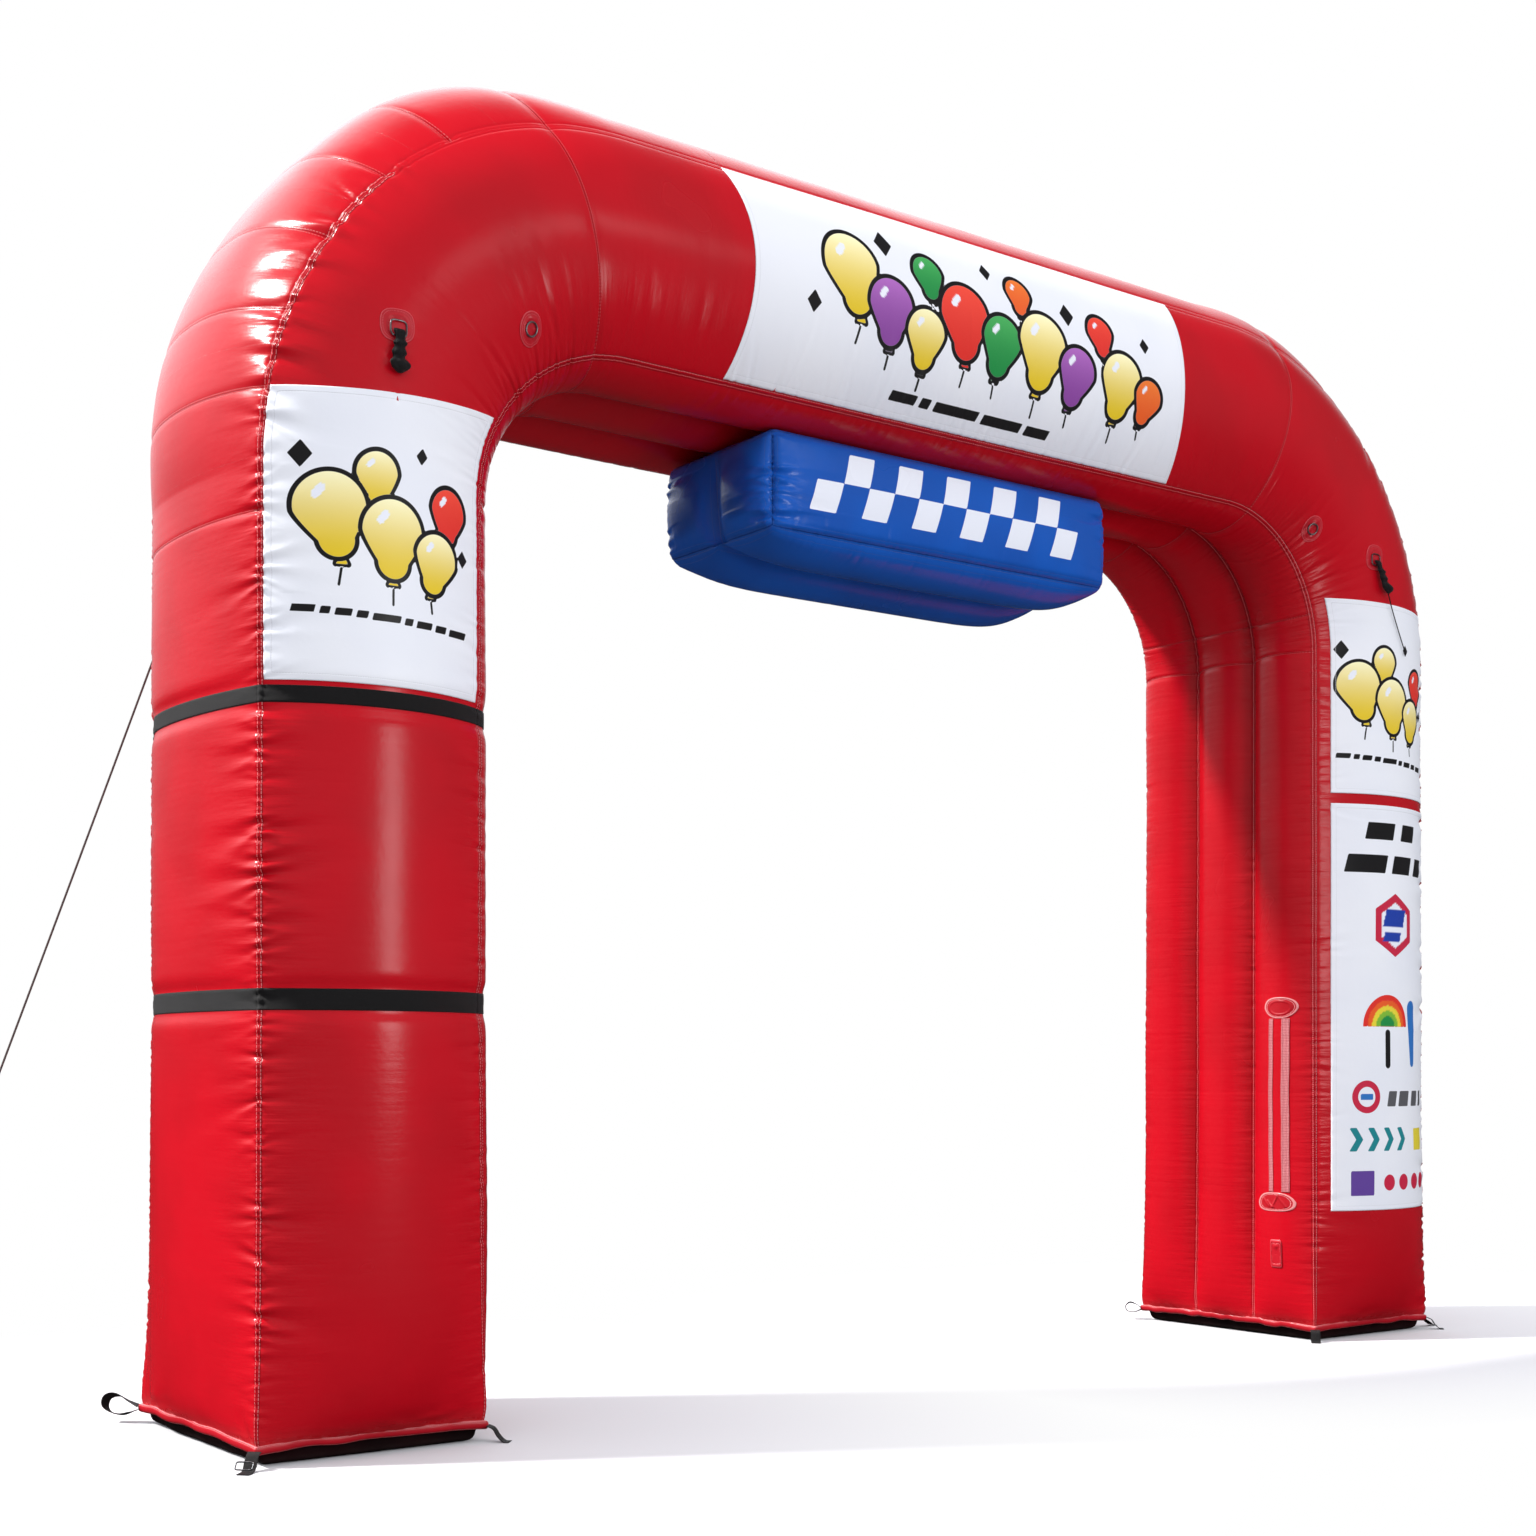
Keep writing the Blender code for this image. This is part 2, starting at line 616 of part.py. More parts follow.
UP = np.array((0.0, 0.0, 1.0))
RIGHT = np.array((1.0, 0.0, 0.0))
FRONT = (0.0, -1.0, 0.0)
REAR = (0.0, 1.0, 0.0)
INNER_RIGHT = (-1.0, 0.0, 0.0)        # the side of the right leg that faces the gateway
PLATE = 0.003
D_RING_WIRE = 0.0030
D_RING = oval(0.029, 0.026, 4.0)
D_RING_DROP = 0.012                   # the ring's middle lies below the patch's middle
ROUND_RING_WIRE = 0.0035
ROUND_RING = oval(0.024, 0.024)
RING_START = 0.050                    # a ring starts this far from its seat, then slides to it
SLIDE_STEPS = 30

TIE_PATCHES = (
    # name, x, z, facing, half width, half height
    ("left_tie", -2.579, 3.706, FRONT, 0.058, 0.055),
    ("right_tie", 2.460, 3.668, FRONT, 0.056, 0.058),
    ("rear_tie", -2.579, 3.706, REAR, 0.058, 0.055),
)
RING_PATCHES = (
    # name, x, z, half width, half height
    ("left_ring", -2.060, 3.812, 0.048, 0.056),
    ("right_ring", 2.082, 3.758, 0.048, 0.056),
)


def make_patches(skin):
    """The welded patches of the tie points, each with its steel ring in front of it.

    Returns how far the wire of each tie ring lies from the middle of the arch."""
    depths = {}
    for name, x, z, facing, half_width, half_height in TIE_PATCHES:
        outline = oval(half_width, half_height, 2.8)
        patch = lay_plate(name + "_patch", skin, np.array((x, 0.0, z)), facing, outline, PLATE,
                          "red_coated_cloth")
        start = HALF_DEPTH + FRONT_CROWN_BEAM + RING_START
        centre = np.array((x, facing[1] * start, z - D_RING_DROP))
        middle = make_ring(name + "_ring", centre, RIGHT, UP, D_RING, D_RING_WIRE, "steel_ring",
                           patch, -np.array(facing))
        depths[name] = abs(middle[1])
    for name, x, z, half_width, half_height in RING_PATCHES:
        patch = lay_plate(name + "_patch", skin, np.array((x, 0.0, z)), FRONT,
                          oval(half_width, half_height), PLATE, "red_coated_cloth")
        make_leaning_ring(name + "_loop", skin, patch, x, z)
    return depths


def make_leaning_ring(name, skin, patch, x, z):
    """A round ring on its patch, leaning with the cloth behind it."""
    reach = ROUND_RING(0)[0]
    right, left, high, low = (skin.below(np.array((x + dx, 0.0, z + dz)), FRONT)
                              for dx, dz in ((reach, 0), (-reach, 0), (0, reach), (0, -reach)))
    across = (right - left) / np.linalg.norm(right - left)
    out = np.cross(across, high - low)
    out /= np.linalg.norm(out)
    centre = (right + left + high + low) / 4 + out * RING_START
    make_ring(name, centre, across, np.cross(out, across), ROUND_RING, ROUND_RING_WIRE,
              "steel_ring", patch, -out)


# Deflation opening on the inside of the right leg: two tapes between two end patches
ZIP_LOW, ZIP_HIGH = 0.694, 1.507
ZIP_PIECES = (
    # name, y, z, half width, half height, squareness
    ("zip_top_patch", -0.392, 1.558, 0.088, 0.050, 2.4),
    ("zip_bottom_patch", -0.364, 0.646, 0.108, 0.044, 3.0),
    ("zip_left_tape", -0.345, (ZIP_LOW + ZIP_HIGH) / 2, 0.013, (ZIP_HIGH - ZIP_LOW) / 2, 12.0),
    ("zip_right_tape", -0.422, (ZIP_LOW + ZIP_HIGH) / 2, 0.020, (ZIP_HIGH - ZIP_LOW) / 2, 12.0),
)
TAPE_THICK = 0.0035
TAPE_STEPS = 14
TAB = (-0.370, 0.403, 0.034, 0.068)   # small flap under the zip: y, z, half width, half height
TAB_THICK = 0.008


def lay_strip(name, skin, y, low, high, half_width, thickness, slot, steps=TAPE_STEPS):
    """An upright strip on the inner face of the right leg."""
    facing = np.array(INNER_RIGHT)
    heights = np.linspace(low, high, steps + 1)
    sides = np.linspace(-half_width, half_width, 3)
    near_leg = LEG_X - HALF_TUBE

    def lay(across, z):
        return skin.below(np.array((near_leg, y + across, z)), facing)

    bed = np.array([[lay(across, z) for across in sides] for z in heights])
    slack = 0.0
    for row in range(steps):
        for column in range(2):
            for i in (0.0, 0.25, 0.5, 0.75, 1.0):
                for j in (0.0, 0.5, 1.0):
                    z = mix(heights[row], heights[row + 1], i)
                    across = mix(sides[column], sides[column + 1], j)
                    edge = mix(bed[row, column:column + 2], bed[row + 1, column:column + 2], i)
                    cloth = mix(edge[0], edge[1], j)
                    slack = max(slack, float(np.dot(lay(across, z) - cloth, facing)))
    low_side = bed + facing * (slack + 2 * GAP)
    rings = [np.concatenate([row, row[::-1] + facing * thickness]) for row in low_side]
    return closed_loft(name, rings, slot)


def make_zip(skin):
    """The deflation opening: end patches, the two tapes between them, and the flap below."""
    near_leg = LEG_X - HALF_TUBE
    for name, y, z, half_width, half_height, power in ZIP_PIECES:
        centre = np.array((near_leg, y, z))
        if name.endswith("patch"):
            lay_plate(name, skin, centre, INNER_RIGHT, oval(half_width, half_height, power),
                      PLATE, "red_coated_cloth")
        else:
            lay_strip(name, skin, y, z - half_height, z + half_height, half_width, TAPE_THICK,
                      "pale_zip_tape")
    y, z, half_width, half_height = TAB
    lay_strip("side_flap", skin, y, z - half_height, z + half_height, half_width, TAB_THICK,
              "red_coated_cloth", steps=3)


# ---------------------------------------------------------------- webbing and ropes

def direction(start, end):
    step = np.array(end, float) - np.array(start, float)
    return step / np.linalg.norm(step)


def smooth_route(knots, count):
    """Evenly spaced points on a smooth curve through a cord's own route points."""
    knots = np.array(knots, float)
    ends = np.vstack([2 * knots[0] - knots[1], knots, 2 * knots[-1] - knots[-2]])
    fine = []
    for i in range(1, len(ends) - 2):
        a, b, c, d = ends[i - 1:i + 3]
        for u in np.linspace(0, 1, 24, endpoint=False):
            fine.append(0.5 * (2 * b + (c - a) * u + (2 * a - 5 * b + 4 * c - d) * u ** 2
                               + (3 * b - a - 3 * c + d) * u ** 3))
    fine = np.array(fine + [knots[-1]])
    lengths = np.concatenate([[0], np.cumsum(np.linalg.norm(np.diff(fine, axis=0), axis=1))])
    marks = np.linspace(0, lengths[-1], count)
    return np.stack([np.interp(marks, lengths, fine[:, k]) for k in range(3)], axis=1)


def make_cord(name, knots, diameter, count, slot, resolution=2):
    """A round cord: a curve with a bevel and filled ends."""
    route = smooth_route(knots, count)
    curve = bpy.data.curves.new(name, "CURVE")
    curve.dimensions = "3D"
    curve.bevel_depth = diameter / 2
    curve.bevel_resolution = resolution
    curve.use_fill_caps = True
    spline = curve.splines.new("POLY")
    spline.points.add(count - 1)
    for point, place in zip(spline.points, route):
        point.co = (*place, 1.0)
    curve.materials.append(material(slot))
    thing = bpy.data.objects.new(name, curve)
    bpy.context.collection.objects.link(thing)
    return thing


def flat_band(name, knots, beside, width, thickness, count, slot):
    """Flat webbing along a route. Each knot is x, y, z and the twist of its width, in degrees,
    from the direction "beside"."""
    knots = np.array(knots, float)
    route = smooth_route(knots[:, :3], count)
    marks = np.linspace(0, 1, len(knots))
    twists = np.radians(np.interp(np.linspace(0, 1, count), marks, knots[:, 3]))
    ahead = np.gradient(route, axis=0)
    ahead[[0, -1], 2] = 0.0           # the cut ends stand upright
    ahead /= np.linalg.norm(ahead, axis=1)[:, None]
    offsets = []
    for direction, twist in zip(ahead, twists):
        wide = beside * math.cos(twist) + np.cross(direction, beside) * math.sin(twist)
        thick = np.cross(direction, wide)
        corners = ((-1, -1), (1, -1), (1, 1), (-1, 1))
        offsets.append([wide * width / 2 * i + thick * thickness / 2 * j for i, j in corners])
    return sweep(name, route, offsets, slot)


WEBBING_THICK = 0.003
WEBBING_WIDTH = 0.045
HEM_EDGE = HEM_HEIGHT - HEM_DROOP     # height of the hem at the corners of a foot

# Webbing at the feet: each route runs out from a corner of the hem, as distance out, height
# over the ground, and twist of the webbing
SHORT_TAB = ((0.0, HEM_EDGE, 0), (0.022, 0.046, 0), (0.038, 0.022, 0), (0.058, 0.004, 0),
             (0.078, 0.0022, 0))
BUCKLED_TAB = ((0.0, HEM_EDGE, 0), (0.020, 0.047, 0), (0.036, 0.024, 0), (0.056, 0.004, 0),
               (0.100, 0.0022, 0))
TUCKED_TAB = ((0.0, HEM_EDGE, 0), (0.018, 0.046, 0), (0.026, 0.024, 0), (0.034, 0.006, 0),
              (0.052, 0.0022, 0))
STIFF_TAIL = ((0.0, HEM_EDGE, 0), (0.040, 0.050, 4), (0.085, 0.030, 8), (0.125, 0.0080, 4),
              (0.150, 0.0022, 0))
BIG_LOOP = ((0.0, HEM_EDGE + 0.006, 0), (0.040, 0.080, 12), (0.082, 0.100, 25),
            (0.118, 0.092, 30), (0.128, 0.064, 10), (0.112, 0.040, -14), (0.070, 0.030, -16),
            (0.030, 0.040, -6), (0.0, HEM_EDGE - 0.006, 0))
SMALL_LOOP = ((0.0, HEM_EDGE + 0.006, 0), (0.026, 0.078, 8), (0.054, 0.086, 14),
              (0.074, 0.068, 6), (0.066, 0.044, -4), (0.034, 0.038, -4),
              (0.0, HEM_EDGE - 0.006, 0))
FOOT_WEBBING = (
    # name, leg side, corner of the section, sewn at the corner or along the side, route
    ("left_rear_loop", -1, 2, "corner", BIG_LOOP),
    ("left_front_tab", -1, 1, "corner", BUCKLED_TAB),
    ("left_inner_front_tab", -1, 0, "corner", SHORT_TAB),
    ("left_inner_rear_tab", -1, 3, "corner", SHORT_TAB),
    ("right_inner_rear_loop", 1, 3, "corner", SMALL_LOOP),
    ("right_inner_front_tab", 1, 0, "corner", TUCKED_TAB),
    ("right_front_tab", 1, 1, "corner", SHORT_TAB),
    ("right_front_tail", 1, 1, "side", STIFF_TAIL),
    ("right_rear_tab", 1, 2, "corner", SHORT_TAB),
)
SIDE_SETBACK = 0.070                  # webbing along a side is this far from the corner
SLIDER = oval(0.029, 0.014, 6.0)
SLIDER_WIRE = 0.0025
SLIDER_KNOT = 2                       # the slider lies over this knot of its webbing


def corner_frame(side, corner, sewn_at):
    """A spot of the hem lip on the ground plan, the way out of it, and the way beside that."""
    spot = tube_point([side * HEM_RUN], [corner], grow=HEM_LIP)[0, 0]
    away = np.array((np.sign(spot[0] - side * LEG_X), np.sign(spot[1]), 0.0))
    out = away / np.linalg.norm(away)
    if sewn_at == "side":
        out = RIGHT * away[0]
        spot = spot - np.array((0.0, away[1] * SIDE_SETBACK, 0.0))
    return np.array((spot[0], spot[1], 0.0)), out, np.cross(UP, out)


def make_foot_webbing():
    for name, side, corner, sewn_at, route in FOOT_WEBBING:
        spot, out, beside = corner_frame(side, corner, sewn_at)
        knots = [(*(spot + out * (reach + GAP) + UP * height), twist)
                 for reach, height, twist in route]
        strap = flat_band(name, knots, beside, WEBBING_WIDTH, WEBBING_THICK, 3 * len(route) - 2,
                          "black_webbing")
        if route is BUCKLED_TAB:
            make_slider(name + "_slider", knots, strap, beside, out)


def make_slider(name, knots, strap, beside, out):
    """The buckle that lies on the outside of its webbing."""
    before, middle, after = (np.array(knots[SLIDER_KNOT + k][:3]) for k in (-1, 0, 1))
    along = direction(before, after)
    face = np.cross(along, beside)
    face *= np.sign(np.dot(face, out))
    make_ring(name, middle + face * RING_START, beside, along, SLIDER, SLIDER_WIRE, "steel_ring",
              strap, -face)


# Bunched webbing that hangs from the front tie rings
TIE_WEB = (
    # drop below the fold, half width, half thickness, sideways shift
    (0.000, 0.019, 0.003, 0.000),
    (0.010, 0.022, 0.006, 0.000),
    (0.034, 0.018, 0.006, 0.002),
    (0.048, 0.026, 0.009, 0.001),
    (0.060, 0.021, 0.007, -0.001),
    (0.078, 0.027, 0.010, -0.003),
    (0.094, 0.022, 0.008, -0.005),
    (0.112, 0.036, 0.013, -0.003),
    (0.130, 0.031, 0.012, -0.002),
    (0.144, 0.009, 0.006, -0.001),
)
TIE_WEB_FOLD = 0.022                  # height of the fold over the ring's lower bar
TIE_WEB_SIDES = 10


def make_tie_web(name, x, z, depth, lean):
    """Webbing folded over a ring's lower bar, gathered and knotted below it. Returns its tip."""
    bar = z - D_RING_DROP + D_RING(-math.pi / 2)[1]
    back = depth + D_RING_WIRE + GAP
    turns = 2 * math.pi * np.arange(TIE_WEB_SIDES) / TIE_WEB_SIDES
    centres, offsets = [], []
    for drop, half_width, half_thick, shift in TIE_WEB:
        centre = (x + lean * drop + shift, -(back + half_thick), bar + TIE_WEB_FOLD - drop)
        centres.append(centre)
        across = RIGHT * half_width
        through = np.array((0.0, 1.0, 0.0)) * half_thick
        offsets.append([across * math.cos(a) + through * math.sin(a) for a in turns])
    sweep(name, centres, offsets, "black_webbing")
    return np.array(centres[-1])


def lump(name, centre, half_sizes, slot, rows=7, steps=10):
    """A small knot: a round lump with three shallow turns."""
    rings = []
    for row in range(rows):
        tilt = math.pi * (row + 0.5) / rows
        turns = 2 * math.pi * np.arange(steps) / steps
        swell = 1 + 0.10 * np.cos(3 * turns + row)
        rings.append(np.stack([math.sin(tilt) * swell * np.cos(turns),
                               math.sin(tilt) * swell * np.sin(turns),
                               math.cos(tilt) + 0 * turns], axis=1) * half_sizes + centre)
    return closed_loft(name, rings, slot)


def beyond_end(before, end, half_sizes):
    """The middle of a knot of these half sizes that sits just past the end of a cord."""
    slope = direction(before, end)
    return np.array(end) + slope * (np.linalg.norm(slope * half_sizes) + GAP)


# Thin cord of the right-hand tie: down over the leg's front to its knot
TETHER = (
    (2.5433, -0.6871, 3.5064),
    (2.5540, -0.6850, 3.4870),
    (2.5780, -0.6805, 3.4440),
    (2.6130, -0.6771, 3.3820),
    (2.6510, -0.6736, 3.3180),
    (2.6890, -0.6713, 3.2530),
)
TETHER_DIAMETER = 0.005
TETHER_POINTS = 20
TETHER_KNOT = (0.0065, 0.0045, 0.0085)

# Guy rope of the rear tie: taut to a knot and a loop on the ground, left of the arch
GUY = (
    (-2.5850, 0.6916, 3.6425),
    (-2.8858, 0.7863, 2.7330),
    (-3.1866, 0.8811, 1.8290),
    (-3.4874, 0.9758, 0.9320),
    (-3.7882, 1.0705, 0.0393),
)
GUY_DIAMETER = 0.008
GUY_POINTS = 40
GUY_KNOT = (0.016, 0.016, 0.020)
GUY_TOP_KNOT = (0.015, 0.012, 0.018)
GUY_LOOP = oval(0.070, 0.030)
GUY_LOOP_WIRE = 0.004


def make_ties(depths):
    """Webbing on the two front rings, the right one's thin cord, and the rear one's guy rope."""
    named = {row[0]: row for row in TIE_PATCHES}
    lean = (TETHER[-1][0] - TETHER[0][0]) / (TETHER[0][2] - TETHER[-1][2])
    for name, slant in (("left_tie", 0.0), ("right_tie", lean)):
        _, x, z = named[name][:3]
        make_tie_web(name + "_web", x, z, depths[name], slant)
    make_cord("right_tether", TETHER, TETHER_DIAMETER, TETHER_POINTS, "black_webbing")
    place = beyond_end(TETHER[-2], TETHER[-1], TETHER_KNOT)
    lump("right_tether_knot", place, TETHER_KNOT, "black_webbing", rows=5, steps=8)

    make_cord("guy_rope", GUY, GUY_DIAMETER, GUY_POINTS, "guy_rope")
    lump("guy_top_knot", beyond_end(GUY[1], GUY[0], GUY_TOP_KNOT), GUY_TOP_KNOT, "guy_rope")
    place = beyond_end(GUY[-2], GUY[-1], GUY_KNOT)
    knot = lump("guy_knot", place, GUY_KNOT, "guy_rope")
    away = direction((GUY[0][0], GUY[0][1], 0), (GUY[-1][0], GUY[-1][1], 0))
    centre = place + away * (GUY_LOOP(0)[0] + RING_START)
    centre[2] = GUY_LOOP_WIRE
    make_ring("guy_loop", centre, away, np.cross(UP, away), GUY_LOOP, GUY_LOOP_WIRE, "guy_rope",
              knot, -away, steps=20)


def main():
    clear_scene()
    tube = make_tube()
    make_base("left_base", -1)
    make_base("right_base", 1)
    skin = Skin(tube)
    make_panels(skin)
    make_bands()
    make_box()
    depths = make_patches(skin)
    make_zip(skin)
    make_foot_webbing()
    make_ties(depths)


main()
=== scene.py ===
# Looks of the inflatable arch: coated cloth skin with its gathers and stitching, printed panels,
# webbing, the hanging box, tie patches, zip, foot webbing and ropes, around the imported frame.
import math

import bmesh
import bpy
import numpy as np
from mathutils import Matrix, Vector


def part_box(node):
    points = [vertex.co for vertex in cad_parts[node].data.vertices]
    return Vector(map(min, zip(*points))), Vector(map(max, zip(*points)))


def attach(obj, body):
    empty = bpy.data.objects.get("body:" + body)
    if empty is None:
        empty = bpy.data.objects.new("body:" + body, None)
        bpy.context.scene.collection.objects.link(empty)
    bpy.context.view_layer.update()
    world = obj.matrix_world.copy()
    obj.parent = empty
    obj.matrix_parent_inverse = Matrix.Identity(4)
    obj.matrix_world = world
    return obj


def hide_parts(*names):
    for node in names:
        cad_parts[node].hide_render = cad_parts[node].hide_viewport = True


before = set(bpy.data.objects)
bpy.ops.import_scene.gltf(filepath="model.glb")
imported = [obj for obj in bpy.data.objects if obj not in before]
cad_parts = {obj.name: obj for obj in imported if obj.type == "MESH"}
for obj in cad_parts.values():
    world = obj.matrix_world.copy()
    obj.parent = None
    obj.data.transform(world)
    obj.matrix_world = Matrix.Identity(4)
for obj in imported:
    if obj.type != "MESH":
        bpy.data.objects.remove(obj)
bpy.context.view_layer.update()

# ---- camera ----
cameraSet = {
    "place": (-5.704, -6.920, 1.287),
    "tilt": 90.10,          # degrees, 90 is level
    "heading": -36.52,      # degrees from +Y, turned towards +X
    "lens": 49.42,
    "shiftUp": 0.1913,
}


def placeObject(name, data):
    item = bpy.data.objects.new(name, data)
    bpy.context.collection.objects.link(item)
    return item


def makeCamera():
    data = bpy.data.cameras.new("archCamera")
    data.lens = cameraSet["lens"]
    data.sensor_width = 36.0
    data.shift_y = cameraSet["shiftUp"]
    data.clip_end = 400.0
    camera = placeObject("archCamera", data)
    camera.location = cameraSet["place"]
    camera.rotation_euler = (math.radians(cameraSet["tilt"]), 0.0, math.radians(cameraSet["heading"]))
    bpy.context.scene.camera = camera


makeCamera()
print("stage: camera")


# ---- mesh helpers ----
def gridSquares(rows, columns, start=0):
    # corner numbers of every square of a grid of points, rows x columns
    first = (np.arange(rows - 1)[:, None] * columns + np.arange(columns - 1)[None, :]).reshape(-1, 1)
    return start + first + np.array([0, 1, columns + 1, columns])


def addPiece(name, points, faces, material, slot, nodes, uv=None, values=None, recalc=False, merge=0.0):
    # A mesh object at the origin from arrays. uv holds pairs and values single numbers or
    # colours, a row for each point. Points closer than merge become one, their uv kept apart.
    mesh = bpy.data.meshes.new(name)
    points = np.asarray(points, float).reshape(-1, 3)
    mesh.from_pydata(points.tolist(), [], np.asarray(faces).tolist())
    corner = np.empty(len(mesh.loops), dtype=np.int64)
    mesh.loops.foreach_get("vertex_index", corner)
    for label, pairs in (uv or {}).items():
        layer = mesh.uv_layers.new(name=label)
        layer.data.foreach_set("uv", np.asarray(pairs, float).reshape(-1, 2)[corner].ravel())
    for label, rows in (values or {}).items():
        rows = np.asarray(rows, float).reshape(len(points), -1)
        if rows.shape[1] == 1:
            layer = mesh.attributes.new(label, "FLOAT", "POINT")
            layer.data.foreach_set("value", rows.ravel())
        else:
            layer = mesh.color_attributes.new(label, "FLOAT_COLOR", "POINT")
            layer.data.foreach_set("color", rows.ravel())
    if recalc or merge:
        body = bmesh.new()
        body.from_mesh(mesh)
        if merge:
            bmesh.ops.remove_doubles(body, verts=body.verts, dist=merge)
            bmesh.ops.dissolve_degenerate(body, dist=1e-7, edges=body.edges)
        bmesh.ops.recalc_face_normals(body, faces=body.faces)
        body.to_mesh(mesh)
        body.free()
    mesh.shade_smooth()
    mesh.materials.append(material)
    piece = placeObject(name, mesh)
    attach(piece, "root")
    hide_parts(*nodes)
    return piece


def addGrid(name, points, look, slot, node, uv=None, merge=1e-6, **more):
    # a piece from a grid of points, which stands for one node
    return addPiece(name, points, gridSquares(*points.shape[:2]), look, slot, [node], uv=uv, merge=merge,
                    **more)


def pairUp(one, two):
    # the two numbers of a map, for every point of a grid
    return np.stack(np.broadcast_arrays(one, two), -1)


def closeEnds(points):
    # draws the two open ends of a sweep together, each to one point
    first, last = [points[[end]].mean(axis=1, keepdims=True) + 0 * points[[end]] for end in (0, -1)]
    return np.concatenate([first, points, last])


def spin(turns, one, two):
    # a unit circle in the plane of two directions, for each row of directions
    return np.cos(turns)[None, :, None] * one[:, None] + np.sin(turns)[None, :, None] * two[:, None]


def smoothLine(knots, count):
    # evenly spaced points on the smooth curve through all the knots; extra columns go along
    knots = np.asarray(knots, float)
    ends = np.vstack([2 * knots[0] - knots[1], knots, 2 * knots[-1] - knots[-2]])
    a, b, c, d = ends[:-3, None], ends[1:-2, None], ends[2:-1, None], ends[3:, None]
    u = np.linspace(0, 1, 24, endpoint=False)[None, :, None]
    fine = 0.5 * (2 * b + (c - a) * u + (2 * a - 5 * b + 4 * c - d) * u ** 2
                  + (3 * b - a - 3 * c + d) * u ** 3)
    fine = np.vstack([fine.reshape(-1, knots.shape[1]), knots[-1]])
    lengths = alongPath(fine[:, :3])
    marks = np.linspace(0, lengths[-1], count)
    return np.stack([np.interp(marks, lengths, column) for column in fine.T], axis=1)


def unit(v):
    v = np.asarray(v, float)
    return v / np.linalg.norm(v, axis=-1, keepdims=True)


def pathLength(path):
    return float(np.linalg.norm(np.diff(path, axis=0), axis=1).sum())


def alongPath(path):
    return np.concatenate([[0], np.cumsum(np.linalg.norm(np.diff(path, axis=0), axis=1))])


# ---- shader helpers ----
def addNode(tree, kind, **settings):
    node = tree.nodes.new("ShaderNode" + kind)
    for key, value in settings.items():
        setattr(node, key, value)
    return node


def feed(tree, socket, value):
    if isinstance(value, bpy.types.NodeSocket):
        tree.links.new(value, socket)
    else:
        socket.default_value = value


def calc(tree, operation, *values):
    node = addNode(tree, "Math", operation=operation)
    for socket, value in zip(node.inputs, values):
        feed(tree, socket, value)
    return node.outputs[0]


def ramp(tree, value, low, high, start=0.0, end=1.0):
    # eases from start to end as value goes from low to high
    node = addNode(tree, "MapRange", interpolation_type="SMOOTHSTEP")
    for label, number in (("Value", value), ("From Min", low), ("From Max", high),
                          ("To Min", start), ("To Max", end)):
        feed(tree, node.inputs[label], number)
    return node.outputs["Result"]


def blend(tree, share, one, two, kind="RGBA"):
    node = addNode(tree, "Mix", data_type=kind)
    sockets = [s for s in node.inputs if s.enabled]
    for socket, value in zip(sockets, (share, one, two)):
        feed(tree, socket, value)
    return [s for s in node.outputs if s.enabled][0]


def noise(tree, place, scale, detail=2.0, rough=0.5):
    node = addNode(tree, "TexNoise")
    feed(tree, node.inputs["Vector"], place)
    for label, value in (("Scale", scale), ("Detail", detail), ("Roughness", rough)):
        feed(tree, node.inputs[label], value)
    return node.outputs["Fac"]


def newGroup(name, inputs, outputs):
    tree = bpy.data.node_groups.new(name, "ShaderNodeTree")
    for label, kind, value in inputs:
        socket = tree.interface.new_socket(label, in_out="INPUT", socket_type="NodeSocket" + kind)
        if value is not None:
            socket.default_value = value
    for label, kind in outputs:
        tree.interface.new_socket(label, in_out="OUTPUT", socket_type="NodeSocket" + kind)
    return tree, tree.nodes.new("NodeGroupInput").outputs, tree.nodes.new("NodeGroupOutput").inputs


def useGroup(tree, group, **values):
    node = tree.nodes.new("ShaderNodeGroup")
    node.node_tree = group
    for label, value in values.items():
        feed(tree, node.inputs[label], value)
    return node.outputs


def times(tree, a, b):
    return calc(tree, "MULTIPLY", a, b)


def minus(tree, a, b):
    return calc(tree, "SUBTRACT", a, b)


def larger(tree, a, b):
    return calc(tree, "MAXIMUM", a, b)


def total(tree, start, *parts):
    # start plus each value times its weight
    for value, weight in parts:
        start = calc(tree, "MULTIPLY_ADD", value, weight, start)
    return start


def coats(tree, colour, *layers):
    # lays colours over a colour; a layer is its mask, its strength and its colour
    for mask, strength, coat in layers:
        colour = blend(tree, times(tree, mask, strength), colour, coat)
    return colour


grainSet = {
    # how many features of the noise fit a metre, and how strong the weave is beside the dents
    "weave": 700.0, "dents": 34.0, "drift": 2.6, "fleck": 160.0, "weaveShare": 0.10,
}


def makeGrain():
    # coated cloth: a fine weave under the film, small dents, and a slow drift of tone
    tree, given, out = newGroup("clothGrain",
                                [("Place", "Vector", None), ("Weave", "Float", grainSet["weave"])],
                                [("Height", "Float"), ("Drift", "Float"), ("Fleck", "Float")])
    weave = noise(tree, given["Place"], given["Weave"])
    dents = noise(tree, given["Place"], grainSet["dents"], 3.0, 0.55)
    drift = noise(tree, given["Place"], grainSet["drift"])
    fleck = noise(tree, given["Place"], grainSet["fleck"], 1.0)
    feed(tree, out["Height"], total(tree, dents, (weave, grainSet["weaveShare"])))
    feed(tree, out["Drift"], drift)
    feed(tree, out["Fleck"], ramp(tree, fleck, 0.62, 0.74))
    return tree


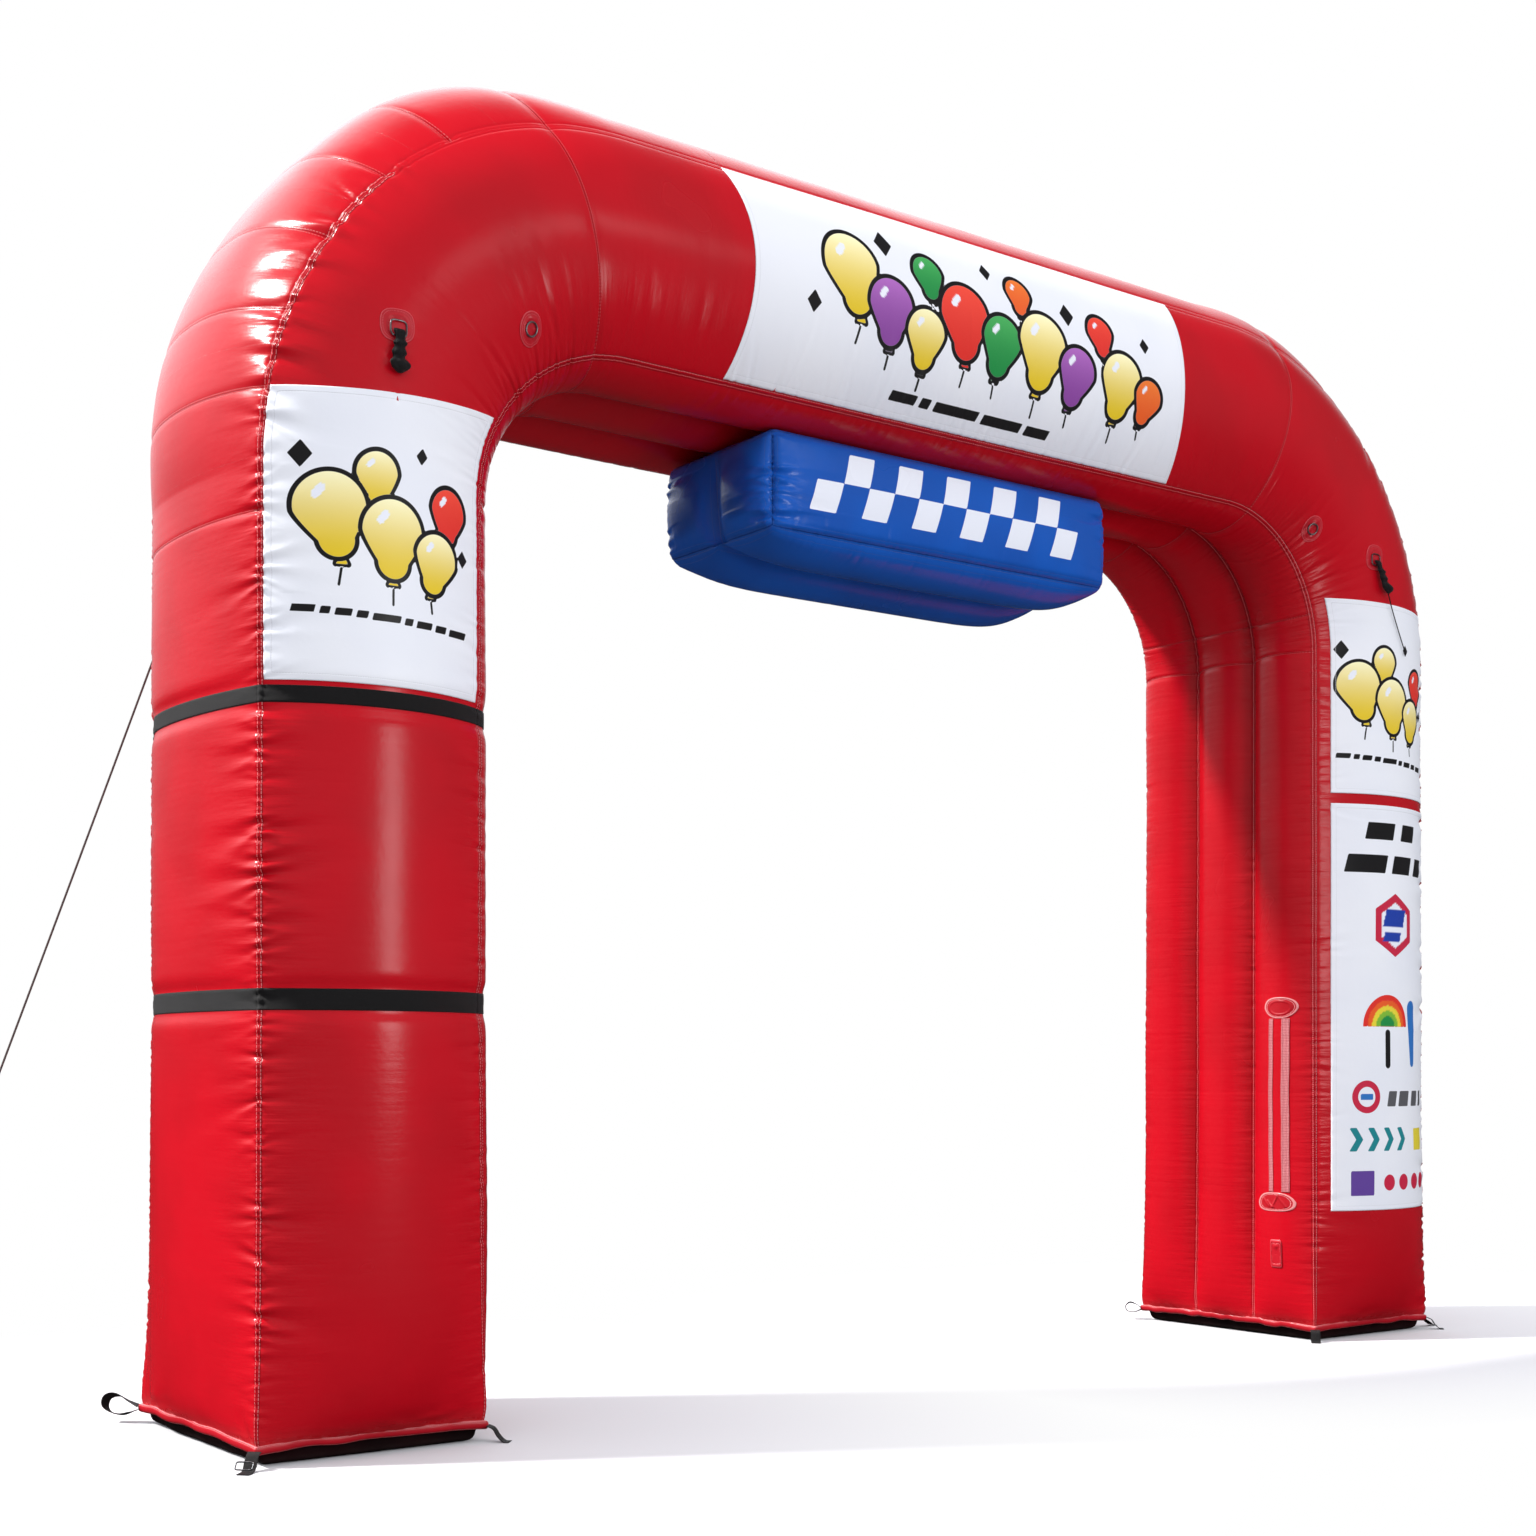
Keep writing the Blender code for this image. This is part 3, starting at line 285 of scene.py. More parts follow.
def makeStitch():
    # Dashes of thread along a line, Across is the distance from the line. A point is on a dash
    # where |fract(along / pitch) - 1/2| * pitch < length / 2.
    tree, given, out = newGroup("stitchLine", [
        ("Along", "Float", 0.0), ("Across", "Float", 0.0), ("Pitch", "Float", 0.0125),
        ("Length", "Float", 0.009), ("HalfWidth", "Float", 0.0008)],
        [("Thread", "Float"), ("Dent", "Float")])
    away = calc(tree, "ABSOLUTE", given["Across"])
    turn = calc(tree, "FRACT", calc(tree, "DIVIDE", given["Along"], given["Pitch"]))
    middle = times(tree, calc(tree, "ABSOLUTE", minus(tree, turn, 0.5)), given["Pitch"])
    dash = calc(tree, "LESS_THAN", middle, times(tree, given["Length"], 0.5))
    core, side, dent = [times(tree, given["HalfWidth"], share) for share in (0.6, 1.4, 3.4)]
    feed(tree, out["Thread"], times(tree, ramp(tree, away, side, core), dash))
    feed(tree, out["Dent"], ramp(tree, away, dent, 0.0))
    return tree


def makeInk():
    # Distance is from a printed edge, positive inside; Outline is the width of the black line
    tree, given, out = newGroup("inkEdge", [("Distance", "Float", 0.0), ("Outline", "Float", 0.0)],
                                [("Colour", "Float"), ("Black", "Float")])
    soft = 0.0007
    inside = ramp(tree, given["Distance"], -soft, soft)
    lined = ramp(tree, calc(tree, "ADD", given["Distance"], given["Outline"]), -soft, soft)
    feed(tree, out["Colour"], inside)
    feed(tree, out["Black"], times(tree, lined, minus(tree, 1.0, inside)))
    return tree


def makeWeave():
    # Webbing: lengthwise ribs crossed by slanting picks; Along and Across in metres. Height is
    # 0.6 sin(2 pi across / rib) + 0.4 sin(2 pi (along + |slant|) / pick).
    tree, given, out = newGroup("webWeave", [("Along", "Float", 0.0), ("Across", "Float", 0.0),
                                             ("Rib", "Float", 0.0022), ("Pick", "Float", 0.0016)],
                                [("Height", "Float"), ("Tone", "Float")])

    def wave(place, pitch):
        return calc(tree, "SINE", calc(tree, "DIVIDE", place, calc(tree, "DIVIDE", pitch, 2 * math.pi)))

    ribs = wave(given["Across"], given["Rib"])
    slant = calc(tree, "ABSOLUTE", times(tree, ribs, 0.0004))
    picks = wave(calc(tree, "ADD", given["Along"], slant), given["Pick"])
    height = total(tree, times(tree, ribs, 0.6), (picks, 0.4))
    feed(tree, out["Height"], height)
    feed(tree, out["Tone"], ramp(tree, height, -1.0, 1.0))
    return tree


def makeSoil():
    # pale dust that gathers in the lowest few centimetres, broken up by noise
    tree, given, out = newGroup("groundDust", [("Place", "Vector", None), ("Top", "Float", 0.20)],
                                [("Dust", "Float")])
    height = addNode(tree, "SeparateXYZ")
    feed(tree, height.inputs[0], given["Place"])
    rise = ramp(tree, height.outputs["Z"], given["Top"], 0.0)
    feed(tree, out["Dust"], times(tree, rise, noise(tree, given["Place"], 22.0, 4.0, 0.6)))
    return tree


grainGroup, stitchGroup, inkGroup = makeGrain(), makeStitch(), makeInk()
weaveGroup, soilGroup = makeWeave(), makeSoil()


def newMaterial(name, roughness, specular, sheen=0.0, metallic=0.0):
    # a material with its shader, its tree, and its place in space
    material = bpy.data.materials.new(name)
    material.use_nodes = True
    tree = material.node_tree
    shader = tree.nodes["Principled BSDF"]
    for label, value in (("Roughness", roughness), ("Specular IOR Level", specular), ("Sheen Weight", sheen),
                         ("Sheen Roughness", 0.4), ("Metallic", metallic)):
        shader.inputs[label].default_value = value
    return material, tree, shader, addNode(tree, "TexCoord").outputs["Object"]


def uvPair(tree, label):
    parts = addNode(tree, "SeparateXYZ")
    feed(tree, parts.inputs[0], addNode(tree, "UVMap", uv_map=label).outputs[0])
    return parts.outputs["X"], parts.outputs["Y"]


def stitches(tree, along, away, pitch, length, halfWidth):
    return useGroup(tree, stitchGroup, Along=along, Across=away, Pitch=pitch, Length=length,
                    HalfWidth=halfWidth)


def prints(tree):
    # masks and inks of a printed cloth, from the two attributes that its points hold
    edge = addNode(tree, "Attribute", attribute_name="printEdge")
    ink = addNode(tree, "Attribute", attribute_name="printColour")
    masks = useGroup(tree, inkGroup, Distance=edge.outputs["Fac"], Outline=ink.outputs["Alpha"])
    return masks["Colour"], masks["Black"], ink.outputs["Color"]


def dressShader(tree, shader, colour, roughness, height, depth):
    # what every material ends with: its colour, its shine and its relief of this depth in metres
    bump = addNode(tree, "Bump")
    bump.inputs["Strength"].default_value = 1.0
    bump.inputs["Distance"].default_value = depth
    feed(tree, bump.inputs["Height"], height)
    feed(tree, shader.inputs["Base Color"], colour)
    feed(tree, shader.inputs["Roughness"], roughness)
    feed(tree, shader.inputs["Normal"], bump.outputs["Normal"])


redSet = {
    "colour": (0.490, 0.0028, 0.0105, 1), "deep": (0.440, 0.0020, 0.0085, 1),
    "groove": (0.170, 0.0010, 0.0040, 1), "thread": (0.74, 0.21, 0.22, 1), "dust": (0.55, 0.30, 0.28, 1),
    "roughness": 0.25, "specular": 0.28, "dustTop": 0.14, "crossGap": 0.0042, "lineWidth": 0.0016,
    # pulls in the cloth: how many for each metre along the seam and away from it, and their fading
    "pullsAlong": 46.0, "pullsAway": 5.0, "pullsFade": 9.0,
    # stitches from the seam, edge of the folded strip, pitch and length of the stitches
    "cornerSeam": (0.0068, 0.0092, 0.0125, 0.0090), "lobeSeam": (0.0045, 0.0095, 0.0095, 0.0060),
}


def makeSkinCloth(name, stitchGap, stripEdge, pitch, length):
    # red coated cloth of the tube, stitched along its corner seams and its cross seams
    material, tree, shader, place = newMaterial(name, redSet["roughness"], redSet["specular"])
    run, gap = uvPair(tree, "seamMap")
    cross, across = uvPair(tree, "crossMap")
    crossAway = calc(tree, "ABSOLUTE", cross)
    grain = useGroup(tree, grainGroup, Place=place)
    dust = useGroup(tree, soilGroup, Place=place, Top=redSet["dustTop"])["Dust"]
    one = stitches(tree, run, minus(tree, gap, stitchGap), pitch, length, 0.0010)
    two = stitches(tree, across, minus(tree, crossAway, redSet["crossGap"]), 0.0105, 0.0065, 0.0008)
    strip = calc(tree, "ABSOLUTE", minus(tree, gap, stripEdge))
    lines = [ramp(tree, away, redSet["lineWidth"], 0.0) for away in (strip, crossAway)]
    line = larger(tree, larger(tree, *lines), ramp(tree, gap, 0.0022, 0.0003))
    thread = larger(tree, one["Thread"], times(tree, two["Thread"], 0.55))
    dents = larger(tree, one["Dent"], times(tree, two["Dent"], 0.6))
    colour = blend(tree, ramp(tree, grain["Drift"], 0.35, 0.68), redSet["colour"], redSet["deep"])
    colour = coats(tree, colour, (dents, 0.30, redSet["groove"]), (line, 0.80, redSet["groove"]),
                   (dust, 0.16, redSet["dust"]), (thread, 0.85, redSet["thread"]))
    wear = total(tree, redSet["roughness"] - 0.09, (grain["Drift"], 0.16), (larger(tree, thread, dust), 0.25))
    # short pulls run across the seams and fade from them: noise * (0.25 + 1.9 exp(-9 gap))
    stretch = addNode(tree, "CombineXYZ")
    feed(tree, stretch.inputs[0], times(tree, run, redSet["pullsAlong"]))
    feed(tree, stretch.inputs[1], times(tree, gap, redSet["pullsAway"]))
    fade = calc(tree, "EXPONENT", times(tree, gap, -redSet["pullsFade"]))
    pulls = times(tree, minus(tree, noise(tree, stretch.outputs[0], 1.0), 0.5),
                  total(tree, 0.25, (fade, 1.9)))
    height = total(tree, pulls, (grain["Height"], 0.30), (line, -0.55), (dents, -0.30), (thread, 0.50))
    dressShader(tree, shader, colour, wear, height, 0.0016)
    return material


def makeTrimCloth(name, colour, deep, edge, roughness, edgeLine, threadGap):
    # cloth of a small sewn or welded piece: edgeMap holds the place along its rim and the
    # distance from it; edgeLine is the width of its rim, painted pale as a sheen, threadGap that of its
    # stitches
    material, tree, shader, place = newMaterial(name, roughness, 0.45)
    along, gap = uvPair(tree, "edgeMap")
    grain = useGroup(tree, grainGroup, Place=place)
    rim = ramp(tree, gap, edgeLine * 1.15, edgeLine * 0.75)
    row = stitches(tree, along, minus(tree, gap, threadGap), 0.0070, 0.0048, 0.0007)
    tone = blend(tree, ramp(tree, grain["Drift"], 0.35, 0.65), colour, deep)
    rimSheen = total(tree, 0.55, (grain["Fleck"], 0.35))
    # painted sheen: a pale rim in the edge colour, broken up by flecks; the stitches take the same colour
    tone = coats(tree, tone, (rim, rimSheen, edge), (row["Thread"], 0.8, edge))
    height = total(tree, 0.0, (grain["Height"], 0.35), (rim, 0.35), (row["Thread"], 0.5),
                   (row["Dent"], -0.4))
    dressShader(tree, shader, tone, total(tree, roughness - 0.07, (grain["Drift"], 0.14)), height, 0.0012)
    return material


printSet = {
    "cloth": (0.80, 0.81, 0.86, 1), "clothFar": (0.76, 0.775, 0.84, 1), "black": (0.012, 0.011, 0.012, 1),
    "thread": (0.62, 0.62, 0.66, 1), "hem": 0.021, "roughness": 0.42,
}


def makePrintCloth():
    # printed cloth: crisp inks from the distance to the nearest printed edge, stitched hems
    material, tree, shader, place = newMaterial("printedCloth", printSet["roughness"], 0.38)
    along, gap = uvPair(tree, "edgeMap")
    grain = useGroup(tree, grainGroup, Place=place, Weave=1100.0)
    inked, black, ink = prints(tree)
    row = stitches(tree, along, minus(tree, gap, printSet["hem"]), 0.0080, 0.0055, 0.0009)
    cloth = blend(tree, ramp(tree, grain["Drift"], 0.30, 0.70), printSet["cloth"], printSet["clothFar"])
    tone = coats(tree, cloth, (inked, 1.0, ink), (black, 1.0, printSet["black"]),
                 (row["Dent"], 0.12, printSet["thread"]), (row["Thread"], 0.75, printSet["thread"]),
                 (ramp(tree, gap, 0.0045, 0.0), 0.25, printSet["thread"]))
    wear = total(tree, printSet["roughness"] - 0.06, (grain["Drift"], 0.12),
                 (larger(tree, inked, black), -0.08))
    hem = ramp(tree, gap, 0.019, 0.024, 1.0, 0.0)
    height = total(tree, 0.0, (grain["Height"], 0.45), (row["Dent"], -0.5), (hem, 0.5))
    dressShader(tree, shader, tone, wear, height, 0.0010)
    return material


blueSet = {
    "colour": (0.0075, 0.095, 0.470, 1), "deep": (0.0065, 0.080, 0.410, 1), "end": (0.0040, 0.052, 0.290, 1),
    "groove": (0.0015, 0.012, 0.085, 1), "thread": (0.10, 0.20, 0.62, 1), "roughness": 0.24,
    "endShadeFrom": -0.905, "endShadeFull": -0.925,      # painted shade: the left end is coloured a deeper blue, by x
}


def makeBlueCloth():
    # blue coated cloth of the box, white blocks printed on its front, stitched at every edge
    material, tree, shader, place = newMaterial("blueCoatedCloth", blueSet["roughness"], 0.30)
    along, gap = uvPair(tree, "edgeMap")
    grain = useGroup(tree, grainGroup, Place=place)
    inked, _, ink = prints(tree)
    one = stitches(tree, along, minus(tree, gap, 0.0085), 0.0105, 0.0070, 0.0008)
    two = stitches(tree, along, minus(tree, gap, 0.0300), 0.0090, 0.0058, 0.0007)
    thread = larger(tree, one["Thread"], times(tree, two["Thread"], 0.7))
    dent = larger(tree, one["Dent"], times(tree, two["Dent"], 0.6))
    seam = ramp(tree, gap, 0.0028, 0.0004)
    spot = addNode(tree, "SeparateXYZ")
    feed(tree, spot.inputs[0], place)
    # painted shade: towards the left end, by x, the blue is darkened to the end tone
    atEnd = ramp(tree, spot.outputs["X"], blueSet["endShadeFrom"], blueSet["endShadeFull"])
    tone = blend(tree, ramp(tree, grain["Drift"], 0.35, 0.65), blueSet["colour"], blueSet["deep"])
    tone = coats(tree, tone, (atEnd, 1.0, blueSet["end"]), (inked, 1.0, ink), (dent, 0.35, blueSet["groove"]),
                 (seam, 0.8, blueSet["groove"]), (thread, 0.6, blueSet["thread"]))
    height = total(tree, 0.0, (grain["Height"], 0.5), (dent, -0.5), (seam, -0.8), (thread, 0.5))
    wear = total(tree, blueSet["roughness"] - 0.08, (grain["Drift"], 0.16))
    dressShader(tree, shader, tone, wear, height, 0.0014)
    return material


def makeWebbing(name, colour, pale, rib, pick, roughness, depth):
    # woven webbing or braided rope on the piece's own map of metres along and across
    material, tree, shader, place = newMaterial(name, roughness, 0.22, sheen=0.06)
    along, across = uvPair(tree, "webMap")
    weave = useGroup(tree, weaveGroup, Along=along, Across=across, Rib=rib, Pick=pick)
    grain = useGroup(tree, grainGroup, Place=place, Weave=900.0)
    tone = coats(tree, colour, (weave["Tone"], 0.7, pale), (grain["Fleck"], 0.35, pale))
    height = total(tree, weave["Height"], (grain["Height"], 0.4))
    dressShader(tree, shader, tone, total(tree, roughness - 0.10, (grain["Drift"], 0.20)), height, depth)
    return material


baseSet = {
    "colour": (0.016, 0.0030, 0.0040, 1), "deep": (0.007, 0.0020, 0.0025, 1),
    "dust": (0.085, 0.065, 0.060, 1), "dustTop": 0.035,
}


def makeBaseCloth():
    # dark heavy cloth under the feet, scuffed and dusty where it meets the ground
    material, tree, shader, place = newMaterial("darkBaseCloth", 0.50, 0.20)
    grain = useGroup(tree, grainGroup, Place=place, Weave=420.0)
    dust = useGroup(tree, soilGroup, Place=place, Top=baseSet["dustTop"])["Dust"]
    tone = blend(tree, ramp(tree, grain["Drift"], 0.35, 0.65), baseSet["colour"], baseSet["deep"])
    tone = coats(tree, tone, (dust, 0.35, baseSet["dust"]))
    dressShader(tree, shader, tone, total(tree, 0.42, (dust, 0.3)), times(tree, grain["Height"], 0.7), 0.0016)
    return material


def makeSteel(name, colour, roughness):
    # worn plated wire: fine scratches and duller spots
    material, tree, shader, place = newMaterial(name, roughness, 0.5, metallic=1.0)
    scratch = noise(tree, place, 380.0, 3.0, 0.7)
    spots = noise(tree, place, 75.0, 2.0, 0.6)
    dull = tuple(0.45 * c for c in colour[:3]) + (1,)
    tone = blend(tree, ramp(tree, spots, 0.50, 0.78), colour, dull)
    dressShader(tree, shader, tone, total(tree, roughness - 0.12, (scratch, 0.30)), scratch, 0.0002)
    return material


lookRed = makeSkinCloth("redCoatedCloth", *redSet["cornerSeam"])
lookLobe = makeSkinCloth("redLobeCloth", *redSet["lobeSeam"])
# cloth, its deeper tone, its pale rim colour (a painted sheen, also the thread colour), then roughness, width
# of the edge, stitches from the rim
lookPatch = makeTrimCloth("redPatchCloth", (0.47, 0.006, 0.016, 1), (0.38, 0.003, 0.010, 1),
                          (0.68, 0.10, 0.12, 1), 0.30, 0.0030, 0.0085)
lookHem = makeTrimCloth("redHemCloth", (0.46, 0.006, 0.016, 1), (0.36, 0.003, 0.010, 1),
                        (0.78, 0.30, 0.31, 1), 0.33, 0.0030, 0.0062)
lookZipPatch = makeTrimCloth("paleEdgedCloth", (0.42, 0.008, 0.016, 1), (0.36, 0.004, 0.010, 1),
                             (0.85, 0.42, 0.42, 1), 0.26, 0.0060, 0.0095)
# thread, its pale side, then pitch of the ribs and of the picks, roughness, depth of the weave
lookTape = makeWebbing("ribbedZipTape", (0.36, 0.040, 0.055, 1), (0.80, 0.36, 0.37, 1),
                       0.0065, 0.0075, 0.34, 0.0012)
lookPrint = makePrintCloth()
lookBlue = makeBlueCloth()
lookBase = makeBaseCloth()
lookWeb = makeWebbing("blackWebbing", (0.0050, 0.0045, 0.0050, 1), (0.020, 0.018, 0.019, 1),
                      0.0030, 0.0024, 0.62, 0.0005)
lookRope = makeWebbing("braidedRope", (0.045, 0.038, 0.036, 1), (0.22, 0.19, 0.18, 1),
                       0.0042, 0.0050, 0.72, 0.0006)
lookSteel = makeSteel("platedSteel", (0.42, 0.42, 0.44, 1), 0.32)
lookSlider = makeSteel("greySlider", (0.16, 0.165, 0.175, 1), 0.36)
print("stage: materials")


# ---- cords and knots ----
cordSet = {
    "guyRope": {
        "knots": ((-2.5850, 0.6916, 3.6425), (-2.8858, 0.7863, 2.7330), (-3.1866, 0.8811, 1.8290),
                  (-3.4874, 0.9758, 0.9320), (-3.7882, 1.0705, 0.0393)),
        "diameter": 0.008, "points": 40, "sides": 12,
    },
    "tether": {
        "knots": ((2.5433, -0.6871, 3.5064), (2.5540, -0.6850, 3.4870), (2.5780, -0.6805, 3.4440),
                  (2.6130, -0.6771, 3.3820), (2.6510, -0.6736, 3.3180), (2.6890, -0.6713, 3.2530)),
        "diameter": 0.005, "points": 30, "sides": 10,
    },
}
knotSet = {
    # node: half sizes, turns of cord wound round it, how deep they are cut
    "guy_top_knot": ((0.015, 0.012, 0.018), 4, 0.14),
    "guy_knot": ((0.016, 0.016, 0.020), 4, 0.14),
    "right_tether_knot": ((0.0065, 0.0045, 0.0085), 3, 0.16),
}


def sweepRound(path, radius, sides):
    # Rings of points round a path: each ring lies across the path's own direction. The first
    # and last ring are drawn together to close the ends. Also gives metres along and around.
    path = np.asarray(path, float)
    ahead = unit(np.gradient(path, axis=0))
    side = unit(np.cross(ahead, np.where(np.abs(ahead[:, 2:3]) > 0.995, (1.0, 0, 0), (0, 0, 1.0))))
    above = np.cross(side, ahead)
    closing = np.concatenate([[0.0, 0.8], np.ones(len(path)), [0.8, 0.0]])
    rows = np.concatenate([[0, 0], np.arange(len(path)), [len(path) - 1] * 2])
    lead = np.concatenate([[-0.5, -0.4], np.zeros(len(path)), [0.4, 0.5]]) * radius * 0.4
    turns = 2 * math.pi * np.linspace(0, 1, sides + 1)
    ring = radius * closing[:, None, None] * spin(turns, side[rows], above[rows])
    points = (path[rows] + ahead[rows] * lead[:, None])[:, None] + ring
    return points, pairUp(alongPath(path)[rows][:, None], radius * turns[None, :])


def makeCord(name, node, numbers, material, slot):
    path = smoothLine(numbers["knots"], numbers["points"])
    points, place = sweepRound(path, numbers["diameter"] / 2, numbers["sides"])
    return addGrid(name, points, material, slot, node, uv={"webMap": place}), path


def makeKnot(node, material, slot):
    # a lump in its node's box: a ball whose surface is cut by slanting turns of cord
    (halfX, halfY, halfZ), turns, cut = knotSet[node]
    low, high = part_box(node)
    middle = np.array((low + high) / 2)
    tilt, around = np.linspace(0, math.pi, 41)[:, None], np.linspace(0, 2 * math.pi, 49)[None, :]
    wound = np.abs(np.cos(turns * tilt + around))
    wound = 1 - cut * (1 - wound) ** 2 + 0.05 * np.sin(3 * around + 2 * tilt)
    ball = np.stack([halfX * np.sin(tilt) * np.cos(around), halfY * np.sin(tilt) * np.sin(around),
                     halfZ * np.cos(tilt) + 0 * around], -1)
    points = middle + ball * wound[..., None]
    return addGrid(node + "Cord", points, material, slot, node,
                   uv={"webMap": pairUp(tilt * halfZ, around * halfX)})


def ovalOutline(turn, halfWide, halfTall, power):
    # a rounded outline: an ellipse for power 2, squarer for a higher one
    return [half * np.sign(part) * np.abs(part) ** (2 / power)
            for half, part in ((halfWide, np.cos(turn)), (halfTall, np.sin(turn)))]


def makeRing(node, halfWide, halfTall, power, wire, material, slot, label, steps=72, sides=14):
    # Wire bent to a rounded outline, in the plane of its node's own points: the plane's normal
    # is the direction in which those points spread least, its width where they spread most.
    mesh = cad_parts[node].data
    spots = np.empty(len(mesh.vertices) * 3)
    mesh.vertices.foreach_get("co", spots)
    spots = np.unique(np.round(spots.reshape(-1, 3), 6), axis=0)
    middle = (spots.min(0) + spots.max(0)) / 2
    _, _, axes = np.linalg.svd(spots - spots.mean(0))
    facing, wide = axes[2], axes[0]
    if power > 2 and abs(facing[1]) > 0.9:
        wide = np.array((1.0, 0.0, 0.0))
    wide = unit(wide - facing * wide.dot(facing))
    tall = np.cross(facing, wide)
    turns = np.linspace(0, 2 * math.pi, steps, endpoint=False)
    across, up = ovalOutline(turns, halfWide, halfTall, power)
    path = middle + across[:, None] * wide + up[:, None] * tall
    ahead = unit(np.roll(path, -1, 0) - np.roll(path, 1, 0))
    around = 2 * math.pi * np.linspace(0, 1, sides + 1)
    points = path[:, None] + wire * spin(around, np.cross(ahead, facing), facing[None])
    points = np.concatenate([points, points[:1]])
    metres = np.linspace(0, pathLength(path), steps + 1)
    return addGrid(node + label, points, material, slot, node,
                   uv={"webMap": pairUp(metres[:, None], wire * around[None, :])})


guyRope, guyPath = makeCord("guyRopeLine", "guy_rope", cordSet["guyRope"], lookRope, "guy_rope")
guyKnots = [makeKnot(node, lookRope, "guy_rope") for node in ("guy_top_knot", "guy_knot")]
makeRing("guy_loop", 0.070, 0.030, 2.0, 0.004, lookRope, "guy_rope", "Cord")
tether, tetherPath = makeCord("rightTetherLine", "right_tether", cordSet["tether"], lookWeb, "black_webbing")
tetherKnot = makeKnot("right_tether_knot", lookWeb, "black_webbing")
print("stage: cords", round(pathLength(guyPath), 3), round(pathLength(tetherPath), 3))


# ---- form of the arch: the same driving sizes as the solids ----
form = {
    "archWidth": 6.00, "legWidth": 0.80, "tubeDepth": 1.06, "soffitHeight": 3.82,
    "elbowInside": 0.60, "hemHeight": 0.064,
    "frontCrownLeg": 0.135, "frontCrownBeam": 0.160, "outerCrownLeg": 0.070, "elbowCrown": 0.090,
    "lobeCrownLeg": 0.085, "lobeCrownBeam": 0.070,
    "shoulderRise": 0.095, "shoulderTurn": 22.0, "shoulderReach": 20.0,
    "footSpread": 0.016, "footReach": 0.12, "legFlare": 0.012, "flareReach": 0.90,
    "fillReach": 0.17, "hemLip": 0.012, "hemDroop": 0.008,
    "bandHeights": (1.500, 2.480), "bandWidths": (0.070, 0.056), "bandPull": 0.010,
}
halfTube = form["legWidth"] / 2
halfDepth = form["tubeDepth"] / 2
elbowRadius = form["elbowInside"] + halfTube
halfBeam = form["archWidth"] / 2 - form["legWidth"] - form["elbowInside"]
elbowHeight = form["soffitHeight"] - form["elbowInside"]
elbowRun = math.pi / 2 * elbowRadius
hemRun = halfBeam + elbowRun + elbowHeight - form["hemHeight"]
legX = form["archWidth"] / 2 - halfTube
faceWidths = np.array([form["legWidth"], form["tubeDepth"], form["legWidth"]] + [form["tubeDepth"] / 3] * 3)
faceStarts = np.cumsum(faceWidths) - faceWidths
perimeter = faceWidths.sum()


def easeStep(x):
    x = np.clip(x, 0.0, 1.0)
    return x * x * (3 - 2 * x)


def blendOf(a, b, share):
    return a + (b - a) * share


def bulge(t, halfChord, crown):
    # height of a round arc over its chord, t from -1 to 1 along the chord
    crown = np.maximum(crown, 1e-5)
    radius = (halfChord ** 2 + crown ** 2) / (2 * crown)
    return np.sqrt(radius ** 2 - (t * halfChord) ** 2) - radius + crown


def legRun(side, height):
    return side * (halfBeam + elbowRun + elbowHeight - height)


def turnRun(side, degrees):
    return side * (halfBeam + math.radians(degrees) * elbowRadius)


def elbowTurn(run):
    return np.clip((np.abs(run) - halfBeam) / elbowRadius, 0, math.pi / 2)


footTuck = {"depth": 0.020, "reach": 0.035}        # each foot curls in just over its hem
cornerRound = {"depth": 0.046, "reach": 0.17}      # the rear outer corner of a leg is softer


def sectionSizes(run, grow=0.0):
    # half depth and half width of the section, share of the air fill, share of the beam's form
    above = np.maximum(hemRun - np.abs(run), 0)
    fill = 1 - np.exp(-above / form["fillReach"])
    spread = form["footSpread"] * np.exp(-above / form["footReach"])
    spread = spread + form["legFlare"] * np.exp(-above / form["flareReach"]) + grow
    spread = spread - footTuck["depth"] * np.exp(-above / footTuck["reach"])
    beamness = easeStep((1 - elbowTurn(run) / (math.pi / 2)) / 0.8)
    return halfDepth + spread, halfTube + spread, fill, beamness


def splitAround(around):
    # face number 0 to 5 and place across the face from -1 to 1; 6 counts as the last face's end
    face = np.clip(np.floor(around), 0, 5).astype(int)
    return face, 2 * (around - face) - 1


